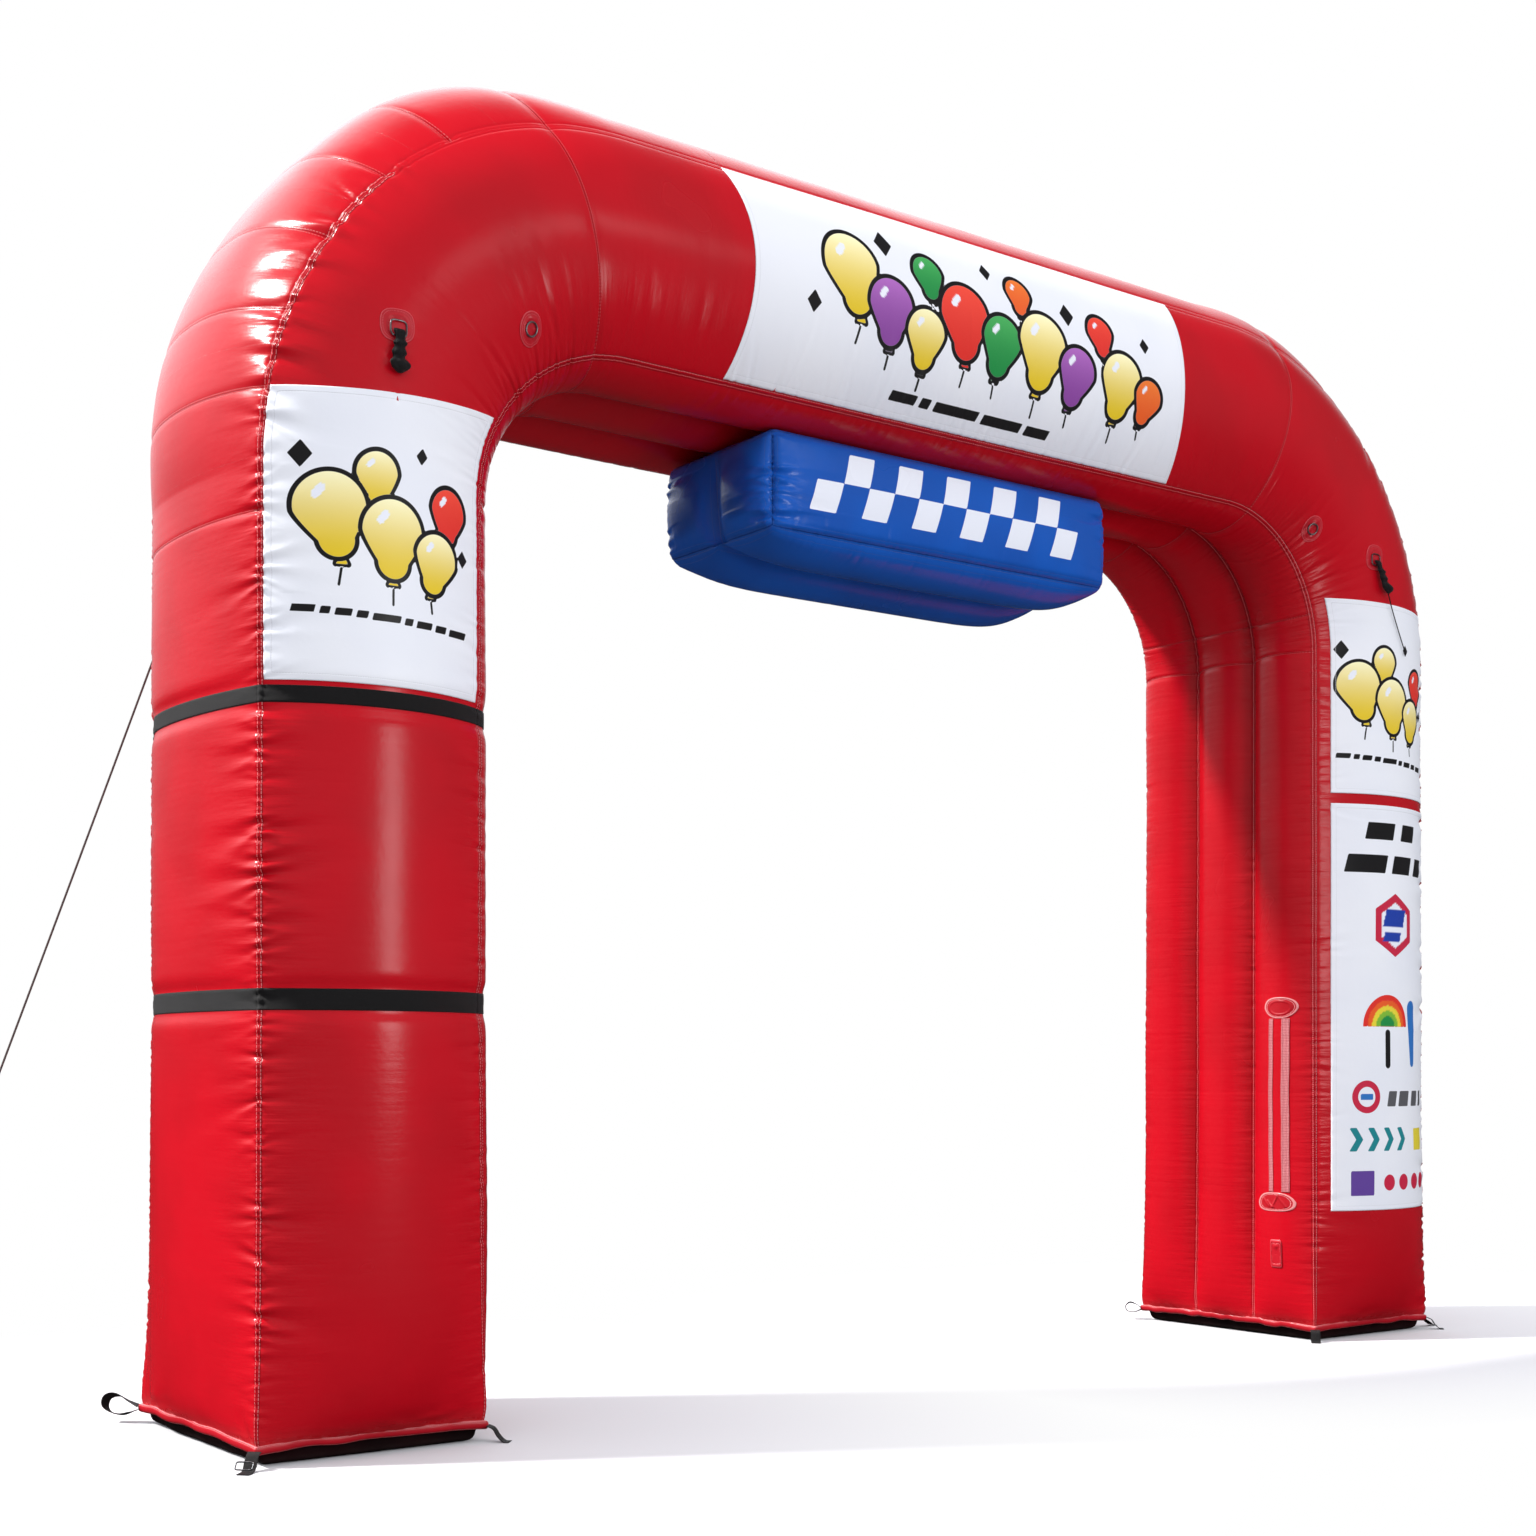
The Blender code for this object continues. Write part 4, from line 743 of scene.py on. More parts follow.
def plainSkin(run, around, lift=0.0, grow=0.0):
    # Point on the tube: the section's six arcs, placed on the centre line at that run. The
    # section is scaled about its middle to lift a point off the cloth.
    run, around = np.broadcast_arrays(np.asarray(run, float), np.asarray(around, float))
    face, t = splitAround(around)
    halfY, halfQ, fill, beamness = sectionSizes(run, grow)
    sideCrown = bulge(t, halfQ, fill * blendOf(form["frontCrownLeg"], form["frontCrownBeam"], beamness))
    turn = elbowTurn(run)
    past = (np.degrees(turn) - form["shoulderTurn"]) / form["shoulderReach"]
    rise = form["shoulderRise"] * np.exp(-past ** 2)
    legCrown = bulge(t, halfY, fill * (form["outerCrownLeg"] + form["elbowCrown"] * np.sin(2 * turn)))
    barrel = (halfTube ** 2 + form["frontCrownBeam"] ** 2) / (2 * form["frontCrownBeam"])
    over = np.maximum(np.abs(t) * halfDepth - (halfDepth + form["frontCrownBeam"] - barrel), 0)
    topCrown = blendOf(legCrown, np.sqrt(barrel ** 2 - over ** 2) - halfTube, beamness) + rise * (1 - t * t)
    lobeCrown = bulge(t, halfY / 3, fill * blendOf(form["lobeCrownLeg"], form["lobeCrownBeam"], beamness))
    y = np.select([face == 0, face == 1, face == 2],
                  [-halfY - sideCrown, t * halfY, halfY + sideCrown],
                  halfY - 2 * halfY * (around - 3) / 3)
    q = np.select([face == 0, face == 1, face == 2],
                  [t * halfQ, halfQ + topCrown, -t * halfQ], -halfQ - lobeCrown)
    size = np.hypot(y, q)
    gap = np.select([face == 1, face == 2], [(1 - t) / 2 * 2 * halfY, (1 + t) / 2 * 2 * halfQ], 9.0)
    lift = lift - (cornerRound["depth"] * easeStep((np.degrees(turn) - 62) / 28) * (0.55 + 0.45 * fill)
                   * np.exp(-(gap / cornerRound["reach"]) ** 2))
    y = y * (1 + lift / size)
    q = q * (1 + lift / size)
    side = np.where(run < 0, -1.0, 1.0)
    drop = np.maximum(np.abs(run) - halfBeam - elbowRun, 0)
    x = np.minimum(np.abs(run), halfBeam) + (elbowRadius + q) * np.sin(turn)
    z = elbowHeight + (elbowRadius + q) * np.cos(turn) - drop
    return np.stack([side * x, y, z], axis=-1)


# ---- gathers, creases and unevenness of the cloth ----
gathersSet = {
    # seam number: depth on a leg, on an elbow, on the beam, reach on the lower and upper face
    0: (0.0046, 0.0052, 0.0030, 0.055, 0.085),
    1: (0.0150, 0.0140, 0.0, 0.052, 0.075),
    2: (0.0065, 0.0080, 0.0, 0.075, 0.052),
    3: (0.0046, 0.0052, 0.0030, 0.055, 0.055),
    4: (0.0040, 0.0048, 0.0030, 0.045, 0.045),
    5: (0.0040, 0.0048, 0.0030, 0.045, 0.045),
}
gatherRows = (
    # pitch along the seam, half width at the seam, share of the depth, share of the reach
    (0.0300, 0.0068, 0.42, 0.50),
    (0.0520, 0.0072, 0.75, 0.95),
    (0.1150, 0.0115, 1.00, 1.60),
)
elbowFan = {"pitch": 0.046, "halfWidth": 0.009, "depth": 0.0050, "reach": 0.26}
hemFan = {"cells": 96, "halfWidth": 0.0090, "depth": 0.0125, "reach": 0.080}
jointRun = 1.84
# cross seams: faces that each crosses, all or outer or inner, and its run
crossSeams = []
for crossSide in (-1, 1):
    crossSeams += [("all", crossSide * jointRun), ("outer", legRun(crossSide, 3.07))]
    crossSeams += [("outer", turnRun(crossSide, degrees)) for degrees in (30.3, 42.6, 55.9, 68.4, 79.8)]
    crossSeams += [("inner", turnRun(crossSide, degrees)) for degrees in (73.5, 90.0)]
creaseSet = {
    # each pair is the depth and half width of a line along a seam
    "beside": (0.0016, 0.003), "besideGap": 0.011, "joint": ((0.0035, 0.006), (0.0045, 0.030)),
    "outer": (0.0022, 0.006), "outerCorner": (0.0100, 0.014), "cornerReach": 0.13, "inner": (0.006, 0.012),
    "bandReach": 0.030, "tieX": 2.579, "tie": (0.0050, 0.007),
}
luck = np.random.default_rng(11).random((4096, 8))


def troughs(along, gap, pitch, halfWidth, depth, reach, seed, side, cells=0):
    # Sum of narrow troughs across a seam, one for each pitch. Each has its own place, depth,
    # width, slant and length from the table of random numbers; the two sides of a seam share
    # all but slant and length. A trough widens and fades with its distance from the seam.
    cell = np.floor(along / pitch).astype(int)
    total = np.zeros(np.shape(gap))
    for step in (-1, 0, 1):
        number = cell + step
        row = luck[((number % cells if cells else number) * 7 + seed * 131) % len(luck)]
        centre = (number + 0.5 + 0.8 * (row[..., 0] - 0.5)) * pitch
        deep = depth * (0.10 + 0.90 * row[..., 1] ** 1.6)
        slant = 0.55 * (row[..., 3 + side] - 0.5)
        long = reach * (0.35 + 1.5 * row[..., 5 + side] ** 2)
        wide = halfWidth * (0.7 + 0.6 * row[..., 2]) * (1 + 1.1 * gap / reach)
        offset = along - centre - slant * gap
        lips = 0.38 * np.exp(-((np.abs(offset) / wide - 1.75) / 0.75) ** 2)
        total = total + deep * (np.exp(-(offset / wide) ** 2) - lips) * np.exp(-gap / long)
    return total


def crease(away, depth, half):
    # depth * exp(-(away / half) ** 2)
    return depth * np.exp(-(away / half) ** 2)


def drawnIn(run, around):
    # how far the cloth is pulled towards the middle of the tube
    face, t = splitAround(around)
    halfY, halfQ, fill, _ = sectionSizes(run)
    width = 2 * np.select([face == 1, face > 2], [halfY, halfY / 3], halfQ)
    turn = np.degrees(elbowTurn(run))
    onLeg = easeStep((turn - 62) / 28)
    onBeam = easeStep((50 - turn) / 22)
    total = np.zeros(run.shape)
    cornerGap = np.full(run.shape, 9.0)
    for number, (legDepth, elbowDepth, beamDepth, lowReach, highReach) in gathersSet.items():
        depth = elbowDepth + (legDepth - elbowDepth) * onLeg + (beamDepth - elbowDepth) * onBeam
        for side, across, reach in ((0, (1 - t) / 2, lowReach), (1, (1 + t) / 2, highReach)):
            mine = face == (number - 1 + side) % 6
            if not mine.any():
                continue
            gap = np.where(mine, across * width, 9.0)
            ends = np.clip(1 - gap / np.maximum(width, 0.1), 0, 1)
            pull = np.zeros(run.shape)
            for layer, (pitch, halfWidth, depthShare, reachShare) in enumerate(gatherRows):
                pull += troughs(run, gap, pitch, halfWidth, depth * depthShare, reach * reachShare,
                                10 * number + layer, side)
            if number in (0, 3):
                pull += (1 - onLeg) * troughs(run, gap, elbowFan["pitch"], elbowFan["halfWidth"],
                                              elbowFan["depth"], elbowFan["reach"],
                                              90 + number, side)
            pull += crease(gap - creaseSet["besideGap"], *creaseSet["beside"])
            total += np.where(mine, pull * ends, 0)
            if number in (1, 2):
                cornerGap = np.minimum(cornerGap, gap)
    nearCorner = np.exp(-cornerGap / creaseSet["cornerReach"])
    for kind, at in crossSeams:
        if kind == "all":
            total += sum(crease(run - at, *sizes) for sizes in creaseSet["joint"])
        elif kind == "outer":
            deeper = nearCorner * crease(run - at, *creaseSet["outerCorner"])
            total += (face == 1) * (crease(run - at, *creaseSet["outer"]) + deeper)
        else:
            fade = (face > 2) * easeStep((6 - around) / 0.12)
            total += fade * crease(run - at, *creaseSet["inner"])
    for height, bandWidth in zip(form["bandHeights"], form["bandWidths"]):
        past = np.maximum(np.abs(run - legRun(-1, height)) - bandWidth / 2, 0)
        total += crease(past, form["bandPull"], creaseSet["bandReach"])
    # a soft crease runs down from the left tie to the panel below it
    x = legX + (t * halfTube + elbowRadius) * np.sin(np.radians(turn)) - elbowRadius
    z = elbowHeight + (t * halfTube + elbowRadius) * np.cos(np.radians(turn))
    below = easeStep((3.64 - z) / 0.05) * easeStep((z - 3.44) / 0.03)
    total += (face == 0) * (run < 0) * below * crease(x - creaseSet["tieX"], *creaseSet["tie"])
    # pulls that fan up from the hem, placed by the share of the way round the foot
    above = np.maximum(hemRun - np.abs(run), 0)
    lap = (faceStarts[face] + (t + 1) / 2 * faceWidths[face]) / perimeter
    fan = troughs(lap, above, 1 / hemFan["cells"], hemFan["halfWidth"] / perimeter, hemFan["depth"],
                  hemFan["reach"], 77, 0, hemFan["cells"])
    return fill * total + fan * (1 - np.exp(-above / 0.02)) * np.sign(hemRun - np.abs(run) + 1)


def uneven(points):
    # slow swells of a few millimetres, from sums of waves through space
    x, y, z = points[..., 0], points[..., 1], points[..., 2]
    slow = np.sin(2.9 * x + 1.7 * z + 0.6) * np.sin(3.4 * y + 2.1 * z + 1.1)
    quick = np.sin(7.3 * z + 2.0 * x) * np.sin(5.9 * y + 4.7 * x + 0.8)
    return 0.0022 * slow + 0.0010 * quick


def skin(run, around, lift=0.0):
    run, around = np.broadcast_arrays(np.asarray(run, float), np.asarray(around, float))
    move = uneven(plainSkin(run, around)) - drawnIn(run, around)
    return plainSkin(run, around, lift + move)


# ---- tube skin, one piece for each stretch of cloth between corner seams ----
skinSet = {
    # name: first and last face, spots across each face, sharp end of the spacing at its seams
    "frontFace": (0, 1, 42), "outerFace": (1, 2, 42), "rearFace": (2, 3, 20), "innerLobes": (3, 6, 16),
}
runSteps = (
    # from run, to run, step
    (-hemRun, -halfBeam - 0.30, 0.0063), (-halfBeam - 0.30, halfBeam + 0.30, 0.0150),
    (halfBeam + 0.30, hemRun, 0.0108),
)
seamSpots = np.array([0.0, 0.003, 0.006, 0.0085, 0.011, 0.014, 0.019, 0.026, 0.036, 0.050, 0.068,
                      0.090, 0.116, 0.148])


def makeRuns():
    # every ring of the skin: even steps, with the edges of all that is sewn on put in exactly
    parts = [np.arange(low, high, step) for low, high, step in runSteps]
    runs = np.concatenate(parts + [[hemRun]])
    fixed = [-1.19, 1.19, -jointRun, jointRun]
    for box, side in ((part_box("left_panel"), -1), (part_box("right_upper_panel"), 1),
                      (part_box("right_lower_panel"), 1)):
        fixed += [legRun(side, box[0].z), legRun(side, min(box[1].z, elbowHeight))]
    for height, width in zip(form["bandHeights"], form["bandWidths"]):
        fixed += [legRun(-1, height - width / 2), legRun(-1, height + width / 2)]
    for at in fixed:
        runs[np.argmin(np.abs(runs - at))] = at
    return np.unique(np.round(runs, 6))


def makeArounds(first, last, count):
    # spots across the faces, close together near each seam
    spots = []
    for face in range(first, last):
        width = faceWidths[face]
        near = seamSpots[::1 if face < 2 else 2]
        near = near[near < 0.42 * width]
        left = max(count - 2 * len(near), 3)
        middle = np.linspace(near[-1], width - near[-1], left + 2)[1:-1]
        across = np.concatenate([near, middle, width - near[::-1]]) / width
        spots += list(face + across[:-1])
    return np.array(spots + [float(last)])


def seamUv(runs, arounds):
    # first map: run, and distance to the nearest corner or lobe seam; second map: distance to the
    # nearest cross seam, and place across the face; all in metres
    run, around = np.meshgrid(runs, arounds, indexing="ij")
    face, t = splitAround(around)
    width = faceWidths[face]
    gap = (1 - np.abs(t)) / 2 * width
    # the outer corner seams fade out where the elbow turns into the beam
    outer = (face == 1) | ((face == 0) & (t > 0)) | ((face == 2) & (t < 0))
    gap = gap + 0.3 * outer * easeStep((42 - np.degrees(elbowTurn(run))) / 8)
    masks = {"all": face > -1, "outer": face == 1, "inner": face > 2, "rear": (face == 1) | (face == 2)}
    cross = np.full(run.shape, 0.3)
    for kind, at in crossSeams + [("rear", -1.19)]:
        step = np.where(masks[kind], run - at, 0.3)
        cross = np.where(np.abs(step) < np.abs(cross), step, cross)
    return {"seamMap": pairUp(run, gap), "crossMap": pairUp(cross, t * width / 2)}


def makeSkin():
    runs = makeRuns()
    for name, (first, last, count) in skinSet.items():
        arounds = makeArounds(first, last, count)
        points = skin(runs[:, None], arounds[None, :])
        faces = gridSquares(len(runs), len(arounds))[:, ::-1]      # turned to face outward
        look = lookLobe if name == "innerLobes" else lookRed
        addPiece(name, points, faces, look, "red_coated_cloth", ["air_tube"], uv=seamUv(runs, arounds))
        print("stage: skin", name, 2 * len(faces), "triangles")
    return runs


skinRuns = makeSkin()


# ---- cloth laid on the skin ----
laidSet = {"lift": 0.0022, "lip": 0.0006, "bandLift": 0.0024}
panelSet = {
    # name: side, lower and upper edge (height, or run on the beam), around of both edges,
    # rows up the panel, columns across it
    "beam_banner": (0, -1.19, 1.19, 0.015, 1.0, 420, 140),
    "left_panel": (-1, 2.524, 3.470, 0.035, 0.985, 216, 150),
    "right_upper_panel": (1, 2.560, 3.464, 0.08, 0.95, 160, 104),
    "right_lower_panel": (1, 0.608, 2.512, 0.08, 0.95, 300, 104),
}
badgeFoot = {"left_panel": 2.524, "right_upper_panel": 2.505}      # height of the small print's foot
topRise = 0.040            # the left panel's top edge is higher by this at its inner end
bannerBow = 0.045          # the banner is this much shorter half way up, at each end


def ringsBetween(low, high):
    low, high = min(low, high), max(low, high)
    return skinRuns[(skinRuns > low - 1e-6) & (skinRuns < high + 1e-6)]


def levelRun(side, around, height):
    # run of the spot on a leg's or elbow's front face at this around and this height
    reach = elbowRadius + (2 * around - 1) * halfTube
    turn = np.arccos(np.clip((height - elbowHeight) / reach, 0, 1))
    return side * (halfBeam + turn * elbowRadius + np.maximum(elbowHeight - height, 0))


def withLips(rows, lift):
    # repeats the outermost rows and columns of a grid, and gives the height of every point:
    # the doubled ones lie down on the skin, as the turned edge of a sewn cloth does
    rows = [np.concatenate([part[:1], part, part[-1:]]) for part in rows]
    rows = [np.concatenate([part[:, :1], part, part[:, -1:]], axis=1) for part in rows]
    height = np.full(rows[0].shape, lift)
    height[[0, -1]] = laidSet["lip"]
    height[:, [0, -1]] = laidSet["lip"]
    return rows, height


def rimPlace(shape, width, length):
    # metres along the nearest edge of a cloth and metres in from it, for a grid of its points
    up, across = np.linspace(0, length, shape[0])[:, None], np.linspace(0, width, shape[1])[None, :]
    fromSides, fromEnds = np.minimum(across, width - across), np.minimum(up, length - up)
    return pairUp(np.where(fromSides < fromEnds, up, across), np.minimum(fromSides, fromEnds))


# ---- prints: generic shapes; each point of a cloth holds its distance to the nearest edge ----
def discField(x, y, at, radius):
    return radius - np.hypot(x - at[0], y - at[1])


def bulbField(x, y, top, bottom, topRadius, bottomRadius):
    # a balloon: a disc that narrows along a line to a smaller one
    ax, ay = bottom[0] - top[0], bottom[1] - top[1]
    share = np.clip(((x - top[0]) * ax + (y - top[1]) * ay) / (ax * ax + ay * ay), 0, 1)
    radius = topRadius + (bottomRadius - topRadius) * share ** 1.3
    return radius - np.hypot(x - top[0] - share * ax, y - top[1] - share * ay)


def segmentField(x, y, start, end, radius):
    return bulbField(x, y, start, end, radius, radius)


def polygonField(x, y, corners):
    # distance to the outline of any simple polygon, positive inside it
    nearest = np.full(np.shape(x), 9.0)
    inside = np.zeros(np.shape(x), bool)
    for (ax, ay), (bx, by) in zip(corners, corners[1:] + corners[:1]):
        nearest = np.minimum(nearest, -segmentField(x, y, (ax, ay), (bx, by), 0.0))
        if ay != by:
            crosses = (ay > y) != (by > y)
            inside ^= crosses & (x < (bx - ax) * (y - ay) / (by - ay) + ax)
    return np.where(inside, nearest, -nearest)


def barField(x, y, at, halfWide, halfTall, slant=0.0):
    (cx, cy), s = at, slant * halfTall
    return polygonField(x, y, [(cx - halfWide - s, cy - halfTall), (cx + halfWide - s, cy - halfTall),
                               (cx + halfWide + s, cy + halfTall), (cx - halfWide + s, cy + halfTall)])


def diamondField(x, y, at, radius):
    (cx, cy), tall = at, 1.25 * radius
    return polygonField(x, y, [(cx, cy - tall), (cx + radius, cy), (cx, cy + tall), (cx - radius, cy)])


def ringField(x, y, at, radius, half):
    return half - np.abs(np.hypot(x - at[0], y - at[1]) - radius)


inkColours = {
    # lower and upper tone; one tone for a flat ink
    "yellow": ((0.74, 0.52, 0.006), (0.95, 0.90, 0.55)), "red": ((0.72, 0.020, 0.012), (0.86, 0.060, 0.030)),
    "purple": ((0.24, 0.055, 0.32), (0.42, 0.13, 0.50)), "green": ((0.010, 0.26, 0.055), (0.06, 0.42, 0.10)),
    "orange": ((0.78, 0.10, 0.010), (0.85, 0.19, 0.020)), "black": ((0.013, 0.012, 0.013),),
    "blue": ((0.010, 0.045, 0.36),), "sky": ((0.02, 0.16, 0.50),), "crimson": ((0.56, 0.012, 0.050),),
    "teal": ((0.006, 0.22, 0.25),), "violet": ((0.115, 0.050, 0.30),), "grey": ((0.10, 0.10, 0.11),),
    "gold": ((0.76, 0.62, 0.030),), "white": ((0.78, 0.80, 0.88),), "lime": ((0.20, 0.46, 0.03),),
}


def plain(field, ink):
    # a motif of one flat ink without an outline
    return field, ink, 0 * field, 0.0


def paint(shape, motifs):
    # Lays the motifs over each other, the last on top. A motif is its field, its two inks from
    # bottom to top, how far up its points lie from 0 to 1, and the width of its black outline.
    edge = np.full(shape, -1.0)
    colour = np.ones(shape + (4,)) * (1, 1, 1, 0)
    for field, ink, rise, outline in motifs:
        low, high = np.array(inkColours[ink][0]), np.array(inkColours[ink][-1])
        tone = low + (high - low) * np.clip(rise, 0, 1)[..., None] ** 2.0
        under = edge
        printed = under > 0
        blank = under <= -np.maximum(colour[..., 3], 1e-6)
        near = field > -outline / 2
        skirt = (field > -outline) & ~near
        away = field <= -outline
        edge = np.where(near, field, under)
        edge = np.where(skirt, np.where(blank, field, -(outline + field)), edge)
        edge = np.where(away & printed, np.minimum(under, -outline - field), edge)
        edge = np.where(away & blank, np.maximum(under, field), edge)
        mine = near | (skirt & blank) | (away & blank & (field > -0.04) & (field > under))
        colour[..., :3] = np.where(mine[..., None], tone, colour[..., :3])
        colour[..., 3] = np.where(mine, outline, colour[..., 3])
    return edge, colour


def dashRow(x, y, start, end, tall, lengths):
    # a row of short dark dashes between two points, as a plain rule line
    total = sum(lengths) + 0.5 * (len(lengths) - 1) * min(lengths)
    reach = np.hypot(end[0] - start[0], end[1] - start[1]) / total
    motifs, at = [], 0.0
    for length in lengths:
        middle = (at + length / 2) / total
        place = (start[0] + (end[0] - start[0]) * middle, start[1] + (end[1] - start[1]) * middle)
        motifs.append(plain(barField(x, y, place, length * reach / 2, tall / 2, 0.25), "black"))
        at += length + 0.5 * min(lengths)
    return motifs


def balloons(x, y, rows, outline):
    # Party balloons from (x, y, radius, lean, ink): first all strings, then for each balloon its
    # small knot, its body, and a pale spot where the light falls.
    strings, bodies = [], []
    for cx, cy, radius, lean, ink in rows:
        foot = (cx + 0.95 * radius * lean, cy - 0.92 * radius)
        kx, ky, side = cx + 1.72 * radius * lean, cy - 1.62 * radius, 0.17 * radius
        end = (kx - 0.5 * radius * lean, ky - 0.60 * radius)
        corners = [(kx - side, ky), (kx + side, ky), (kx, ky + 2.0 * side)]
        rise = (y - cy + 1.5 * radius) / (2.5 * radius)
        spot = np.array((cx - 0.42 * radius, cy + 0.34 * radius))
        light = segmentField(x, y, spot, spot + (0.16 * radius, 0.20 * radius), 0.12 * radius)
        strings.append(plain(segmentField(x, y, (kx, ky), end, 0.28 * outline), "black"))
        bodies += [(polygonField(x, y, corners), ink, rise, 0.7 * outline),
                   (bulbField(x, y, (cx, cy), foot, radius, 0.50 * radius), ink, rise, outline),
                   plain(light, "white")]
    return strings + bodies


bannerSet = {
    # balloons: x, y, radius, lean, ink; spots: x, y, size; dashes: the length of each
    "balloons": (
        (-0.300, 0.560, 0.072, 0.10, "green"), (0.190, 0.590, 0.064, -0.05, "orange"),
        (0.640, 0.520, 0.070, 0.12, "red"), (-0.690, 0.505, 0.128, 0.22, "yellow"),
        (-0.500, 0.390, 0.104, 0.05, "purple"), (-0.125, 0.430, 0.120, 0.10, "red"),
        (-0.320, 0.320, 0.092, 0.02, "yellow"), (0.075, 0.370, 0.098, -0.12, "green"),
        (0.300, 0.400, 0.126, -0.06, "yellow"), (0.500, 0.330, 0.096, -0.14, "purple"),
        (0.760, 0.345, 0.110, -0.10, "yellow"), (0.925, 0.300, 0.074, -0.25, "orange"),
    ),
    "spots": ((-0.870, 0.330, 0.034), (-0.505, 0.640, 0.044), (0.030, 0.650, 0.030), (0.455, 0.560, 0.040),
              (0.905, 0.520, 0.028)),
    "outline": 0.0175, "dashes": ((-0.430, 0.085), (0.420, 0.075), 0.034, (0.8, 0.3, 1.4, 1.3, 0.8)),
}
badgeSet = {
    "balloons": (
        (0.350, 0.680, 0.070, 0.06, "yellow"), (0.625, 0.600, 0.072, -0.10, "red"),
        (0.200, 0.560, 0.112, 0.18, "yellow"), (0.405, 0.500, 0.106, 0.00, "yellow"),
        (0.572, 0.440, 0.082, -0.18, "yellow"),
    ),
    "spots": ((0.110, 0.725, 0.036), (0.510, 0.755, 0.022), (0.690, 0.465, 0.024)),
    "outline": 0.0150,
    "dashes": ((0.085, 0.232), (0.705, 0.206), 0.024, (0.9, 0.4, 0.7, 0.5, 1.3, 0.4, 0.8, 0.6, 1.0)),
}
listSet = (
    # shape, its place and sizes, its ink: the column of small generic marks on the long panel
    (barField, ((0.42, 1.985), 0.075, 0.042, 0.3), "blue"),
    (barField, ((0.40, 1.895), 0.060, 0.022, 0.3), "blue"),
    (segmentField, ((0.365, 1.440), (0.365, 1.290), 0.017), "black"),
    (bulbField, ((0.560, 1.560), (0.575, 1.300), 0.036, 0.020), "sky"),
    (ringField, ((0.235, 1.140), 0.062, 0.015), "crimson"), (barField, ((0.235, 1.140), 0.034, 0.014), "sky"),
    (barField, ((0.395, 1.130), 0.030, 0.036, 0.2), "grey"),
    (barField, ((0.490, 1.130), 0.042, 0.036, 0.2), "grey"),
    (barField, ((0.600, 1.130), 0.034, 0.036, 0.2), "grey"),
    (barField, ((0.680, 1.130), 0.018, 0.036, 0.2), "grey"),
    (barField, ((0.640, 0.935), 0.052, 0.052), "gold"), (barField, ((0.215, 0.735), 0.062, 0.058), "violet"),
    (discField, ((0.375, 0.735), 0.038), "crimson"), (discField, ((0.485, 0.735), 0.038), "crimson"),
    (discField, ((0.595, 0.735), 0.038), "crimson"), (discField, ((0.690, 0.735), 0.038), "crimson"),
)
rainbow = {"at": (0.365, 1.470), "step": 0.025, "inks": ("red", "orange", "gold", "lime", "green")}
chevron = ((-0.036, -0.055), (0.0, -0.055), (0.034, 0.0), (0.0, 0.055), (-0.036, 0.055), (-0.002, 0.0))


def balloonMotifs(x, y, numbers):
    motifs = balloons(x, y, numbers["balloons"], numbers["outline"])
    motifs += [plain(diamondField(x, y, (cx, cy), size), "black") for cx, cy, size in numbers["spots"]]
    return motifs + dashRow(x, y, *numbers["dashes"])


def listMotifs(x, y):
    motifs = dashRow(x, y, (0.235, 2.390), (0.590, 2.390), 0.080, (1.2, 0.8))
    motifs += dashRow(x, y, (0.130, 2.235), (0.690, 2.235), 0.085, (1.5, 1.0, 0.6))
    for halfWide, halfTall, ink in ((0.155, 0.150, "crimson"), (0.112, 0.108, "white")):
        corners = [(0.42 + halfWide * math.cos(a), 1.95 + halfTall * math.sin(a))
                   for a in np.radians(np.arange(30, 390, 60))]
        motifs.append(plain(polygonField(x, y, corners), ink))
    for number, ink in enumerate(rainbow["inks"]):
        bow = discField(x, y, rainbow["at"], (6 - number) * rainbow["step"])
        motifs.append(plain(np.minimum(bow, y - rainbow["at"][1]), ink))
    for at in (0.180, 0.275, 0.370, 0.465):
        motifs.append(plain(polygonField(x, y, [(at + cx, 0.940 + cy) for cx, cy in chevron]), "teal"))
    return motifs + [plain(field(x, y, *numbers), ink) for field, numbers, ink in listSet]


